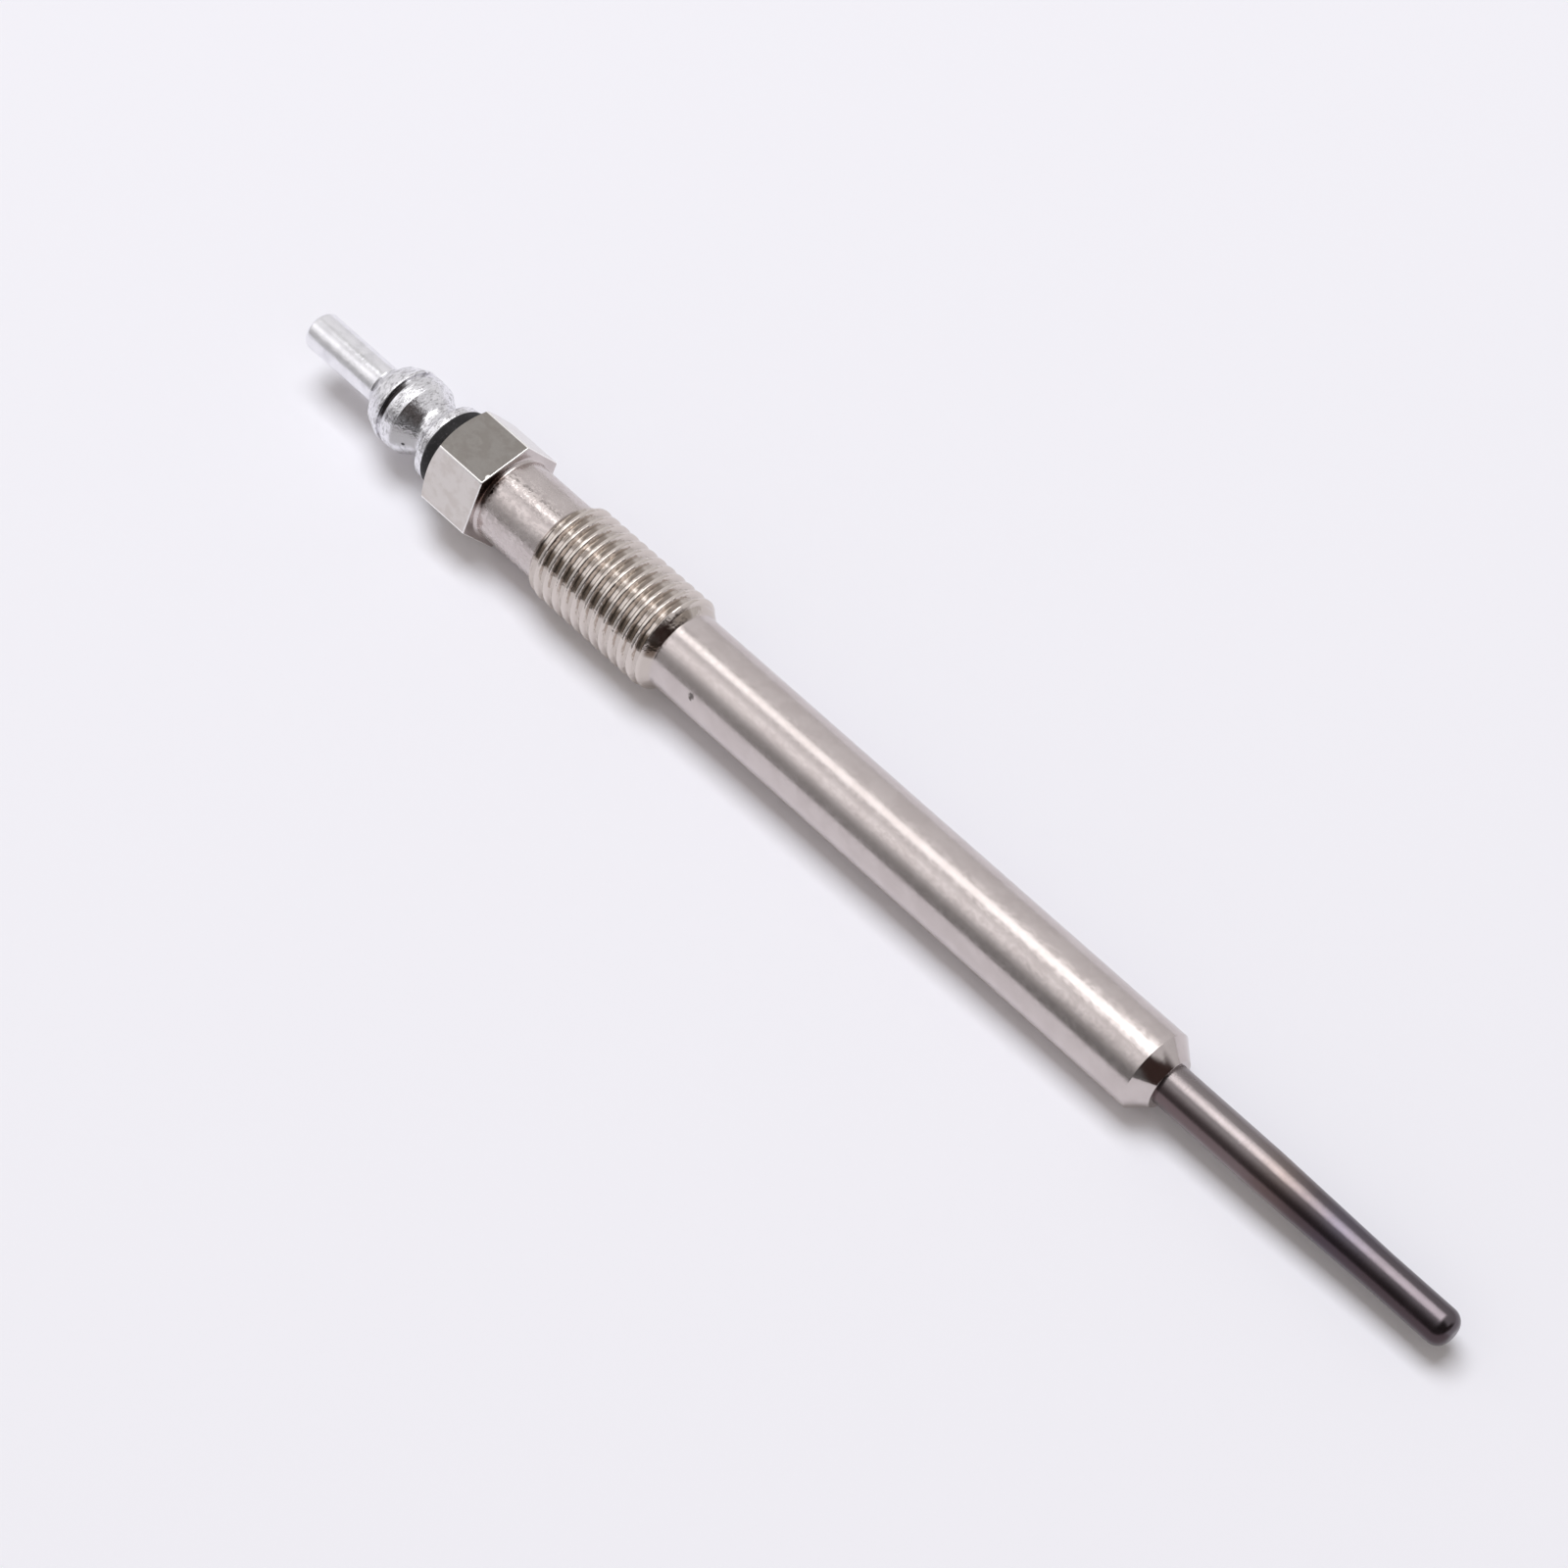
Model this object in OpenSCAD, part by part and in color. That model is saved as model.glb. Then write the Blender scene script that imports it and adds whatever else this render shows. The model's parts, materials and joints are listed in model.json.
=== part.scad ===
// Diesel glow plug with a push-on terminal, lying on its side as it comes to rest.
// The plug's axis runs close to X: terminal at minus X, glow tip at plus X, Z up.
// The floor is Z = 0 and the origin lies on it, below the middle of the plug.
// Outlines are drawn as [radius, station], with stations in mm from the terminal's end.

/* [Terminal] */
// Diameter of the push-on pin
pin_d = 4; // [3.6:0.1:4.6]
// Length of the pin, from its end to the collar
pin_l = 9.5; // [8:0.5:14]
// Radius round the end of the pin
pin_round = 0.6; // [0.3:0.1:0.8]
// Width of the bead where the pin meets the collar
bead_w = 0.4; // [0.3:0.1:1]
// Greatest diameter of the snap collar
collar_d = 7.9; // [7.2:0.1:8.4]
// Length of the lead-in cone between the bead and the first ridge
collar_cone_l = 2.8; // [2.2:0.1:4]
// Length of the steep part of that cone
collar_steep_l = 1.2; // [0.8:0.1:1.8]
// Diameter of the cone where its steep part ends
collar_break_d = 6.6; // [6:0.1:7]
// Width of each ridge beside the groove
ridge_w = 0.3; // [0.2:0.1:0.8]
// Width of the groove between the ridges
groove_w = 0.6; // [0.3:0.1:0.8]
// Depth of the groove
groove_depth = 0.35; // [0.2:0.05:0.5]
// Length of the slope behind the second ridge
collar_slope_l = 2.3; // [1.5:0.1:3]
// Diameter at the bottom of the neck
neck_d = 5.4; // [4.8:0.1:6.2]
// Radius of the hollow round the neck
neck_round = 1.4; // [1:0.05:1.6]
// Diameter of the flange that bears on the washer
flange_d = 8; // [7.4:0.1:8.6]
// Length of the flange
flange_l = 1.1; // [0.8:0.1:2]

/* [Insulating washer] */
// Diameter of the black washer
washer_d = 8.2; // [7.6:0.1:9]
// Thickness of the washer between the flange and the body
washer_t = 1.6; // [1:0.1:2.5]
// Length of the sleeve inside the body
sleeve_l = 2.2; // [1.5:0.1:4]

/* [Body] */
// Hexagon size across flats
hex_af = 10; // [9.5:0.5:12]
// Height of the hexagon
hex_h = 6.5; // [5:0.5:9]
// Diameter where the chamfer of the hexagon starts
hex_chamfer_d = 9.4; // [8.8:0.1:9.4]
// Angle of that chamfer
hex_chamfer_angle = 30; // [20:1:40]
// Diameter of the plain shank between hexagon and thread
shank_d = 8.5; // [8:0.1:9]
// Length of the shank
shank_l = 7.6; // [4:0.1:12]
// Radius in the corner between hexagon and shank
shank_fillet = 0.4; // [0.2:0.1:0.6]
// Major diameter of the thread
thread_d = 10; // [9.4:0.1:10.4]
// Length of the thread with its end chamfers
thread_l = 16; // [12:0.5:22]
// Pitch of the thread, which sets the depth of its first chamfer
thread_pitch = 1.25; // [1:0.05:1.5]
// Diameter of the long plain barrel
barrel_d = 8; // [7.6:0.1:8.4]
// Length of the barrel, from the thread to the seat
barrel_l = 58.8; // [45:0.1:75]
// Included angle of the cone seat
seat_angle = 82; // [60:1:120]
// Diameter of the end face inside the seat
face_d = 5; // [4.8:0.1:5.6]

/* [Glow tube] */
// Diameter of the tube where it leaves the body
tube_d = 4; // [3.8:0.1:4.4]
// Diameter of the tube at its front end
tube_tip_d = 3.5; // [3.4:0.1:3.7]
// Length of the tube outside the body
tube_out = 31.5; // [28:0.5:40]
// Length of the tube pressed into the body
tube_in = 20; // [12:1:30]
// Distance from the body to the start of the taper
taper_start = 11; // [6:0.5:14]
// Length of the taper
taper_l = 12.5; // [6:0.5:14]
// Wall of the tube
tube_wall = 0.5; // [0.4:0.05:0.55]
// Thickness of the closed tip
tip_wall = 1; // [0.7:0.1:1.5]
// Radius round the tip
tip_round = 1.3; // [0.6:0.1:1.5]
// Length of the seal in the open end of the tube
tube_seal_l = 2.5; // [1.5:0.5:5]

/* [Rod and coils] */
// Diameter of the centre rod
rod_d = 2; // [1.8:0.1:2.2]
// Length of the rod inside the terminal
rod_in_terminal = 8; // [5:0.5:9]
// Distance from the end face back to the shoulder of the rod
rod_back = 3; // [1:0.5:8]
// Diameter of the spigot that the coil is wound on
spigot_d = 1.2; // [1:0.1:1.4]
// Length of the spigot
spigot_l = 2; // [1:0.5:3]
// Wire of the control coil
control_wire = 0.3; // [0.2:0.02:0.34]
// Wire of the heating coil
heating_wire = 0.34; // [0.22:0.02:0.36]
// Turns of the control coil
control_turns = 14; // [8:1:16]
// Turns of the heating coil
heating_turns = 14; // [8:1:16]
// Length of the straight lead from the heating coil to the tip
coil_lead = 1.5; // [1:0.1:3]

/* [Body bores] */
// Diameter of the bore round the rod
bore_d = 5; // [4.6:0.1:5.4]
// Diameter of the counterbore for the seal ring and the sleeve
counterbore_d = 6; // [5.6:0.1:6.6]

/* [Rest] */
// Turn of the plug about its axis as it lies, from a flat of the hexagon facing down
rest_roll = 3; // [-8:0.5:8]

/* [Fits] */
// Gap between pieces that fit inside each other
fit_gap = 0.02; // [0.01:0.01:0.05]

/* [Hidden] */
facets = 96;
clear = 1;

pin_r = pin_d / 2;
collar_r = collar_d / 2;
collar_break_r = collar_break_d / 2;
neck_r = neck_d / 2;
flange_r = flange_d / 2;
rod_r = rod_d / 2;
spigot_r = spigot_d / 2;
shank_r = shank_d / 2;
thread_r = thread_d / 2;
barrel_r = barrel_d / 2;
face_r = face_d / 2;
tube_r = tube_d / 2;
tube_tip_r = tube_tip_d / 2;
hex_corner_r = hex_af / 2 / cos(30);
counterbore_r = counterbore_d / 2;

// Stations of the terminal
cone_s = pin_l + bead_w;
ridge_s = cone_s + collar_cone_l;
groove_s = ridge_s + ridge_w;
ridge2_s = groove_s + groove_w;
slope_s = ridge2_s + ridge_w;
neck_s = slope_s + collar_slope_l;
slope_r = neck_r + neck_round * 0.6;
flange_s = neck_s + neck_round * 1.6;
washer_s = flange_s + flange_l;

// Stations of the body
hex_s = washer_s + washer_t;
shank_s = hex_s + hex_h;
thread_s = shank_s + shank_l;
barrel_s = thread_s + thread_l;
seat_s = barrel_s + barrel_l;
face_s = seat_s + (barrel_r - face_r) / tan(seat_angle / 2);
lead_in = max(0.613 * thread_pitch, thread_r - shank_r);
thread_end_s = barrel_s - (thread_r - barrel_r);
tip_s = face_s + tube_out;

// Stations inside
ring_r = (counterbore_r - rod_r) / 2 - fit_gap;
ring_s = hex_s + sleeve_l + ring_r + fit_gap;
counterbore_end_s = ring_s + ring_r + fit_gap;
tube_s = face_s - tube_in;
taper_s = face_s + taper_start;
taper_end_s = taper_s + taper_l;
hollow_end_s = tip_s - tip_wall;
powder_s = tube_s + tube_seal_l;
shoulder_s = face_s - rod_back;
coil_r = spigot_r + max(control_wire, heating_wire) / 2 + fit_gap;
channel_r = coil_r + max(control_wire, heating_wire) / 2 + fit_gap;
coil_s = shoulder_s + max(control_wire, heating_wire) / 2 + fit_gap;
channel_end_s = hollow_end_s - coil_lead;
coil_end_s = channel_end_s - 2 * heating_wire;
coil_pitch = (coil_end_s - coil_s) / (control_turns + heating_turns);
join_s = coil_s + control_turns * coil_pitch;

// Rest pose: the end of the thread and the rim of the seat lie on the floor
rest_tilt = atan((thread_r - barrel_r) / (seat_s - thread_end_s));
rest_height = thread_end_s * sin(rest_tilt) + thread_r * cos(rest_tilt);
rest_back = tip_s * cos(rest_tilt) / 2;

// Lays a piece that is drawn along Z down as the plug rests
module at_rest() {
  translate([-rest_back, 0, rest_height]) rotate([0, 90 + rest_tilt, 0]) rotate([0, 0, rest_roll]) children();
}

// Turns an outline of [radius, station] about the plug's axis
module turned() {
  rotate_extrude($fn = facets) children();
}

// Rectangle of an outline between two radii and two stations
module band(r0, r1, s0, s1) {
  translate([r0, s0]) square([r1 - r0, s1 - s0]);
}

// Push-on terminal with a snap collar and a blind bore for the rod
module terminal_pin() {
  color("gainsboro")
  at_rest()
  turned()
  difference() {
    union() {
      band(0, pin_r, pin_round, pin_l + bead_w);
      band(0, pin_r - pin_round, 0, pin_l);
      translate([pin_r - pin_round, pin_round]) circle(r = pin_round, $fn = facets);
      translate([pin_r, pin_l + bead_w / 2]) circle(d = bead_w, $fn = facets);
      polygon([[0, cone_s], [pin_r, cone_s], [collar_break_r, cone_s + collar_steep_l], [collar_r, ridge_s],
        [collar_r, slope_s], [slope_r, neck_s], [slope_r, flange_s], [flange_r, flange_s],
        [flange_r, washer_s], [0, washer_s]]);
    }
    band(collar_r - groove_depth, collar_r + clear, groove_s, ridge2_s);
    translate([neck_r + neck_round, (neck_s + flange_s) / 2]) circle(r = neck_round, $fn = facets);
    band(-clear, rod_r + fit_gap, washer_s - rod_in_terminal, washer_s + clear);
  }
}

// Black washer between terminal and body, with the sleeve that centres the rod
module insulating_washer() {
  color("black")
  at_rest()
  turned() {
    band(rod_r + fit_gap, washer_d / 2, washer_s, hex_s);
    band(rod_r + fit_gap, counterbore_r - fit_gap, washer_s, hex_s + sleeve_l);
  }
}

// Elastomer ring below the sleeve
module rod_seal_ring() {
  color("saddlebrown")
  at_rest()
  turned()
  translate([(counterbore_r + rod_r) / 2, ring_s]) circle(r = ring_r, $fn = facets);
}

// Hexagon with the corners turned off at the terminal side
module hexagon() {
  intersection() {
    translate([0, 0, hex_s]) rotate([0, 0, 30]) cylinder(r = hex_corner_r, h = hex_h, $fn = 6);
    turned()
    polygon([[0, hex_s], [hex_chamfer_d / 2, hex_s],
      [hex_corner_r + clear, hex_s + (hex_corner_r + clear - hex_chamfer_d / 2) * tan(hex_chamfer_angle)],
      [hex_corner_r + clear, shank_s], [0, shank_s]]);
  }
}

// Corner radius between hexagon and shank
module shank_corner() {
  turned()
  difference() {
    band(shank_r - shank_fillet, shank_r + shank_fillet, shank_s - shank_fillet, shank_s + shank_fillet);
    translate([shank_r + shank_fillet, shank_s + shank_fillet]) circle(r = shank_fillet, $fn = facets);
  }
}

// Steel body: hexagon, shank, thread, barrel and cone seat, with its stepped bore
module body_shell() {
  color("silver")
  at_rest()
  difference() {
    union() {
      hexagon();
      shank_corner();
      turned()
      polygon([[0, shank_s - clear], [shank_r, shank_s - clear], [shank_r, thread_s],
        [thread_r, thread_s + lead_in], [thread_r, thread_end_s], [barrel_r, barrel_s], [barrel_r, seat_s],
        [face_r, face_s], [0, face_s]]);
    }
    turned() {
      band(0, counterbore_r, hex_s - clear, counterbore_end_s);
      band(0, bore_d / 2, hex_s - clear, tube_s);
      band(0, tube_r + fit_gap, hex_s - clear, face_s + clear);
    }
  }
}

// Outline of the tube, shrunk by a wall
module tube_outline(wall, end_s) {
  polygon([[0, tube_s], [tube_r - wall, tube_s], [tube_r - wall, taper_s], [tube_tip_r - wall, taper_end_s],
    [tube_tip_r - wall, end_s], [0, end_s]]);
}

// Glow tube with a taper and a closed round tip
module heater_sheath() {
  color("dimgray")
  at_rest()
  turned()
  difference() {
    union() {
      tube_outline(0, tip_s - tip_round);
      band(0, tube_tip_r - tip_round, tip_s - 2 * tip_round, tip_s);
      intersection() {
        translate([tube_tip_r - tip_round, tip_s - tip_round]) circle(r = tip_round, $fn = facets);
        band(0, tube_r, tip_s - 2 * tip_round, tip_s + clear);
      }
    }
    tube_outline(tube_wall, hollow_end_s);
  }
}

// Rod from the terminal to the coils, with a spigot for the coil
module centre_rod() {
  color("slategray")
  at_rest()
  turned() {
    band(0, rod_r, washer_s - rod_in_terminal + fit_gap, shoulder_s);
    band(0, spigot_r, shoulder_s - clear, shoulder_s + spigot_l);
  }
}

// Seal in the open end of the tube
module sheath_seal() {
  color("darkolivegreen")
  at_rest()
  turned()
  band(rod_r + fit_gap, tube_r - tube_wall - fit_gap, tube_s, powder_s - fit_gap);
}

// Pressed powder that fills the tube round the rod and the coils
module insulating_powder() {
  color("ivory")
  at_rest()
  difference() {
    turned()
    difference() {
      tube_outline(tube_wall + fit_gap, hollow_end_s - fit_gap);
      band(0, tube_r, tube_s - clear, powder_s);
      band(0, rod_r + fit_gap, tube_s, shoulder_s + fit_gap);
      band(0, spigot_r + fit_gap, tube_s, shoulder_s + spigot_l + fit_gap);
      band(spigot_r, channel_r, shoulder_s, channel_end_s);
    }
    translate([coil_r, 0, channel_end_s - clear])
    cylinder(d = heating_wire + 2 * fit_gap, h = tip_s, $fn = facets);
  }
}

coil_steps = 14;
wire_sides = 8;

// Point of a coil at an angle and a station
function coil_point(turn, s) = [coil_r * cos(360 * turn), coil_r * sin(360 * turn), s];

// Sweeps a round wire along points that lie on the coil's cylinder, from the second to the last but one
module wire(path, d) {
  last = len(path) - 3;
  rings = [for (i = [1 : last + 1])
    let(ahead = path[i + 1] - path[i - 1], along = ahead / norm(ahead),
      flat_out = [path[i][0], path[i][1], 0], out = flat_out / norm(flat_out), side = cross(along, out))
    for (k = [0 : wire_sides - 1])
      path[i] + d / 2 * (cos(360 * k / wire_sides) * out + sin(360 * k / wire_sides) * side)];
  sides = [for (i = [0 : last - 1], k = [0 : wire_sides - 1])
    let(a = i * wire_sides + k, b = i * wire_sides + (k + 1) % wire_sides)
    each [[a, b, b + wire_sides], [a, b + wire_sides, a + wire_sides]]];
  first_cap = [[for (k = [0 : wire_sides - 1]) wire_sides - 1 - k]];
  last_cap = [[for (k = [0 : wire_sides - 1]) last * wire_sides + k]];
  polyhedron(points = rings, faces = concat(sides, first_cap, last_cap));
}

// Points of a winding that starts at a station, with one point before it and some after it
function winding(s, turns, after) =
  [for (i = [-1 : turns * coil_steps + after]) coil_point(i / coil_steps, s + i / coil_steps * coil_pitch)];

// Rear coil, wound on the spigot of the rod
module control_coil() {
  color("lightsteelblue")
  at_rest()
  wire(winding(coil_s, control_turns, 1), control_wire);
}

// Front coil, with a straight lead to the closed tip
module heating_coil() {
  lead = [coil_point(0, channel_end_s), coil_point(0, hollow_end_s - fit_gap), coil_point(0, tip_s)];
  color("lightslategray")
  at_rest()
  wire(concat(winding(join_s, heating_turns, 0), lead), heating_wire);
}

terminal_pin();
insulating_washer();
rod_seal_ring();
body_shell();
heater_sheath();
centre_rod();
sheath_seal();
insulating_powder();
control_coil();
heating_coil();
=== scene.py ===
"""Dresses a diesel glow plug that lies on a pale studio floor.

Each visible piece is drawn in millimetres along its own axis, with Z as the station
from the terminal's end, and is then laid into the frame with its place in its mesh.
"""
import json
import logging
import math
from dataclasses import dataclass
from enum import Enum
from itertools import pairwise
from typing import Any, Iterable, Sequence

import bmesh
import bpy
from mathutils import Euler, Matrix, Vector


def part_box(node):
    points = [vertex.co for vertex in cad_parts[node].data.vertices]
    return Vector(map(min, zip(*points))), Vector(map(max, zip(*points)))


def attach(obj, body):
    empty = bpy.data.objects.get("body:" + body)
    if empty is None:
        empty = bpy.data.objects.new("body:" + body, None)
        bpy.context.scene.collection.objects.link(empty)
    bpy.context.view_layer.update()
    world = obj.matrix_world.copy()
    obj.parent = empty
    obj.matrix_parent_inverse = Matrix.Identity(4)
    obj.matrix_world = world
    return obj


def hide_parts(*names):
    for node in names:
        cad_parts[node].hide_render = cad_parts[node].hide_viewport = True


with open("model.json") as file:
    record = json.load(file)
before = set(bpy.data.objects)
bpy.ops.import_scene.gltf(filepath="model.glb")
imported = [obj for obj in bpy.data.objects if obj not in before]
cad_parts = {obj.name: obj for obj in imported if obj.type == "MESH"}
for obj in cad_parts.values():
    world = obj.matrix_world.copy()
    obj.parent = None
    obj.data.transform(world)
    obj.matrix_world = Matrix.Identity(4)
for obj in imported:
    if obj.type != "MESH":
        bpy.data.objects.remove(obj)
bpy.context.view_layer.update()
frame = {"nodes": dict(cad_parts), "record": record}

log = logging.getLogger("glow_plug")

MM = 0.001
SEGMENTS = 192
MERGE_MM = 0.0005
CUT_MM = 0.0002
TOUCH_MM = 0.001
NEAR_MM = 0.01
SMOOTH_DEG = 32.0
HEX_SIDES = 6
FLANK_DEG = 30.0
DOWN_DEG = -90.0
REST_ROLL_DEG = 3.0

Point = tuple[float, float]
Colour = tuple[float, float, float]
Place = tuple[float, float, float]
Side = tuple[float, float, float]
Grain = tuple[Colour, float, float]


class Slot(Enum):
    """Material slots of the record that the outer pieces stand for."""

    TERMINAL = "terminal"
    WASHER = "washer"
    BODY = "body"
    TUBE = "tube"


@dataclass(frozen=True)
class PlugAxis:
    """Where the plug lies: its end, the way its axis runs and its turn about that axis."""

    end: Vector
    along: Vector
    roll: float

    @classmethod
    def from_record(cls, record: dict[str, Any], pin_round: float, roll_deg: float) -> "PlugAxis":
        """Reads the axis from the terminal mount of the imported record.

        Args:
            record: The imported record.
            pin_round: Radius round the end of the pin, in mm.
            roll_deg: Turn of the plug about its axis as it lies, in degrees.

        Returns:
            The axis in the shared frame.
        """
        mount = next(m for m in record["mounts"] if m["name"] == "terminal")
        outward = Vector(mount["axis"]).normalized()
        reach = (mount["dims"]["length_mm"] / 2 + pin_round) * MM
        return cls(Vector(mount["pos_m"]) + outward * reach, -outward, math.radians(roll_deg))

    def tilt(self) -> float:
        """Angle in radians that turns Z down onto the axis, about Y."""
        return math.atan2(self.along.x, self.along.z)

    def placement(self) -> Matrix:
        """Matrix from drawn millimetres to the shared frame."""
        turn = Matrix.Rotation(self.tilt(), 4, "Y") @ Matrix.Rotation(self.roll, 4, "Z")
        return Matrix.Translation(self.end) @ turn @ Matrix.Scale(MM, 4)

    def into_drawing(self) -> tuple[Vector, Euler]:
        """Location and turn of a Mapping node that leads from the frame back to the drawing.

        Returns:
            The location and the turn.
        """
        turn = Euler((0.0, -self.tilt(), -self.roll), "XYZ")
        location = turn.to_matrix() @ (self.end / MM)
        return -location, turn


# Operators on outlines and meshes

def deselect_objects() -> None:
    """Clears the selection, so that an operator acts on new objects alone."""
    if bpy.context.object and bpy.context.object.mode != "OBJECT":
        bpy.ops.object.mode_set(mode="OBJECT")
    bpy.ops.object.select_all(action="DESELECT")


def make_active(piece: bpy.types.Object) -> None:
    """Selects one object alone and makes it the active one.

    Args:
        piece: The object to select.
    """
    deselect_objects()
    piece.select_set(True)
    bpy.context.view_layer.objects.active = piece


def arc(centre: Point, radius: float, start_deg: float, end_deg: float, steps: int) -> list[Point]:
    """Points along an arc in an outline, with angles from the radius toward the station.

    Args:
        centre: Radius and station of the arc's centre.
        radius: Radius of the arc.
        start_deg: Angle of the first point.
        end_deg: Angle of the last point.
        steps: Number of stretches between points.

    Returns:
        The points, both ends included.
    """
    turns = [math.radians(start_deg + (end_deg - start_deg) * i / steps) for i in range(steps + 1)]
    return [(centre[0] + radius * math.cos(t), centre[1] + radius * math.sin(t)) for t in turns]


def eased(before: Point, corner: Point, after: Point, radius: float, steps: int = 4) -> list[Point]:
    """Rounds one corner of an outline with a tangent arc.

    Args:
        before: Point before the corner.
        corner: The corner itself.
        after: Point after the corner.
        radius: Radius of the arc.
        steps: Number of stretches along the arc.

    Returns:
        The points of the arc, which take the corner's place.
    """
    here, back, ahead = Vector(corner), Vector(before) - Vector(corner), Vector(after) - Vector(corner)
    back, ahead = back.normalized(), ahead.normalized()
    half = math.acos(max(-1.0, min(1.0, back.dot(ahead)))) / 2
    centre = here + (back + ahead).normalized() * (radius / math.sin(half))
    first = here + back * (radius / math.tan(half)) - centre
    last = here + ahead * (radius / math.tan(half)) - centre
    turn = first.angle_signed(last)
    return [tuple(centre + Matrix.Rotation(-turn * i / steps, 2) @ first) for i in range(steps + 1)]


def ease_corners(outline: Sequence[Point], radii: dict[int, float]) -> list[Point]:
    """Rounds some corners of a closed outline.

    Args:
        outline: The corners in order.
        radii: Radius for each corner that is rounded, by its index.

    Returns:
        The outline with arcs in place of those corners.
    """
    count, points = len(outline), []
    for i, corner in enumerate(outline):
        if i in radii:
            points += eased(outline[i - 1], corner, outline[(i + 1) % count], radii[i])
        else:
            points.append(corner)
    return points


def draw_outline(name: str, points: Sequence[Point]) -> bpy.types.Object:
    """Draws an outline of radius and station as a chain of edges, and leaves it in edit mode.

    Args:
        name: Name of the new object.
        points: The points in order.

    Returns:
        The new object, with its whole chain selected.
    """
    deselect_objects()
    bpy.ops.mesh.primitive_plane_add(size=1.0)
    piece = bpy.context.object
    piece.name = piece.data.name = name
    bpy.ops.object.mode_set(mode="EDIT")
    bpy.ops.mesh.select_mode(type="VERT")
    bpy.ops.mesh.select_all(action="SELECT")
    bpy.ops.mesh.merge(type="CENTER")
    bpy.ops.transform.translate(value=(points[0][0], 0.0, points[0][1]))
    for (r0, s0), (r1, s1) in pairwise(points):
        bpy.ops.mesh.extrude_vertices_move(TRANSFORM_OT_translate={"value": (r1 - r0, 0.0, s1 - s0)})
    bpy.ops.mesh.select_all(action="SELECT")
    return piece


def close_seams() -> None:
    """Merges points that meet in the mesh in edit mode, turns its faces outward and leaves edit mode."""
    bpy.ops.mesh.select_all(action="SELECT")
    bpy.ops.mesh.remove_doubles(threshold=MERGE_MM)
    bpy.ops.mesh.normals_make_consistent(inside=False)
    bpy.ops.object.mode_set(mode="OBJECT")


def join_meshes(piece: bpy.types.Object, other: bpy.types.Object) -> None:
    """Joins another object into a piece and closes the seam between them.

    Args:
        piece: The piece that stays.
        other: The object that becomes part of it.
    """
    make_active(piece)
    other.select_set(True)
    bpy.ops.object.join()
    bpy.ops.object.mode_set(mode="EDIT")
    close_seams()


def turn_outline(name: str, points: Sequence[Point]) -> bpy.types.Object:
    """Turns an outline about Z into a mesh, and leaves it in object mode.

    Args:
        name: Name of the new object.
        points: Radius and station of each point.

    Returns:
        The turned object.
    """
    piece = draw_outline(name, points)
    bpy.ops.mesh.spin(steps=SEGMENTS, angle=math.tau, center=(0, 0, 0), axis=(0, 0, 1))
    close_seams()
    return piece


def closed(points: Sequence[Point]) -> list[Point]:
    """The outline with its first point again at its end."""
    return [*points, points[0]]


def select_faces(piece: bpy.types.Object, chosen: Iterable[int]) -> None:
    """Selects only some faces of a piece that is in edit mode, by their index.

    Args:
        piece: The piece.
        chosen: Index of each face to select.
    """
    wanted = set(chosen)
    bpy.ops.mesh.select_mode(type="FACE")
    bpy.ops.mesh.select_all(action="DESELECT")
    mesh = bmesh.from_edit_mesh(piece.data)
    for face in mesh.faces:
        face.select_set(face.index in wanted)
    bmesh.update_edit_mesh(piece.data)


def apply_modifier(piece: bpy.types.Object, kind: str, **settings: Any) -> None:
    """Adds one modifier to a piece, sets it and applies it.

    Args:
        piece: The piece, in object mode.
        kind: Type of the modifier.
        settings: Values of its properties.
    """
    make_active(piece)
    bpy.ops.object.modifier_add(type=kind)
    modifier = piece.modifiers[-1]
    for key, value in settings.items():
        setattr(modifier, key, value)
    bpy.ops.object.modifier_apply(modifier=modifier.name)


def lay_down(piece: bpy.types.Object, axis: PlugAxis) -> bpy.types.Object:
    """Lays a drawn piece into the frame, with its place in its mesh, and shades its soft edges smooth.

    Args:
        piece: The piece, drawn in mm along Z.
        axis: Where the plug lies.

    Returns:
        The same piece.
    """
    make_active(piece)
    piece.matrix_world = axis.placement()
    bpy.ops.object.transform_apply(location=True, rotation=True, scale=True)
    bpy.ops.object.shade_smooth_by_angle(angle=math.radians(SMOOTH_DEG))
    return piece


def hand_over(piece: bpy.types.Object, material: bpy.types.Material, node: str) -> None:
    """Dresses a piece and puts it in the place of its CAD node.

    Args:
        piece: The finished piece.
        material: Its finish.
        node: The CAD node that it stands for.
    """
    piece.data.materials.clear()
    piece.data.materials.append(material)
    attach(piece, "root")
    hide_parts(node)
    lowest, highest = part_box(node)
    corners = [Vector(v.co) for v in piece.data.vertices]
    off = max(
        max(abs(min(c[i] for c in corners) - lowest[i]), abs(max(c[i] for c in corners) - highest[i]))
        for i in range(3)
    )
    triangles = sum(len(p.vertices) - 2 for p in piece.data.polygons)
    log.info("%s: %d triangles, box off by %.3f mm", piece.name, triangles, off / MM)


# Shader nodes

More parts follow.
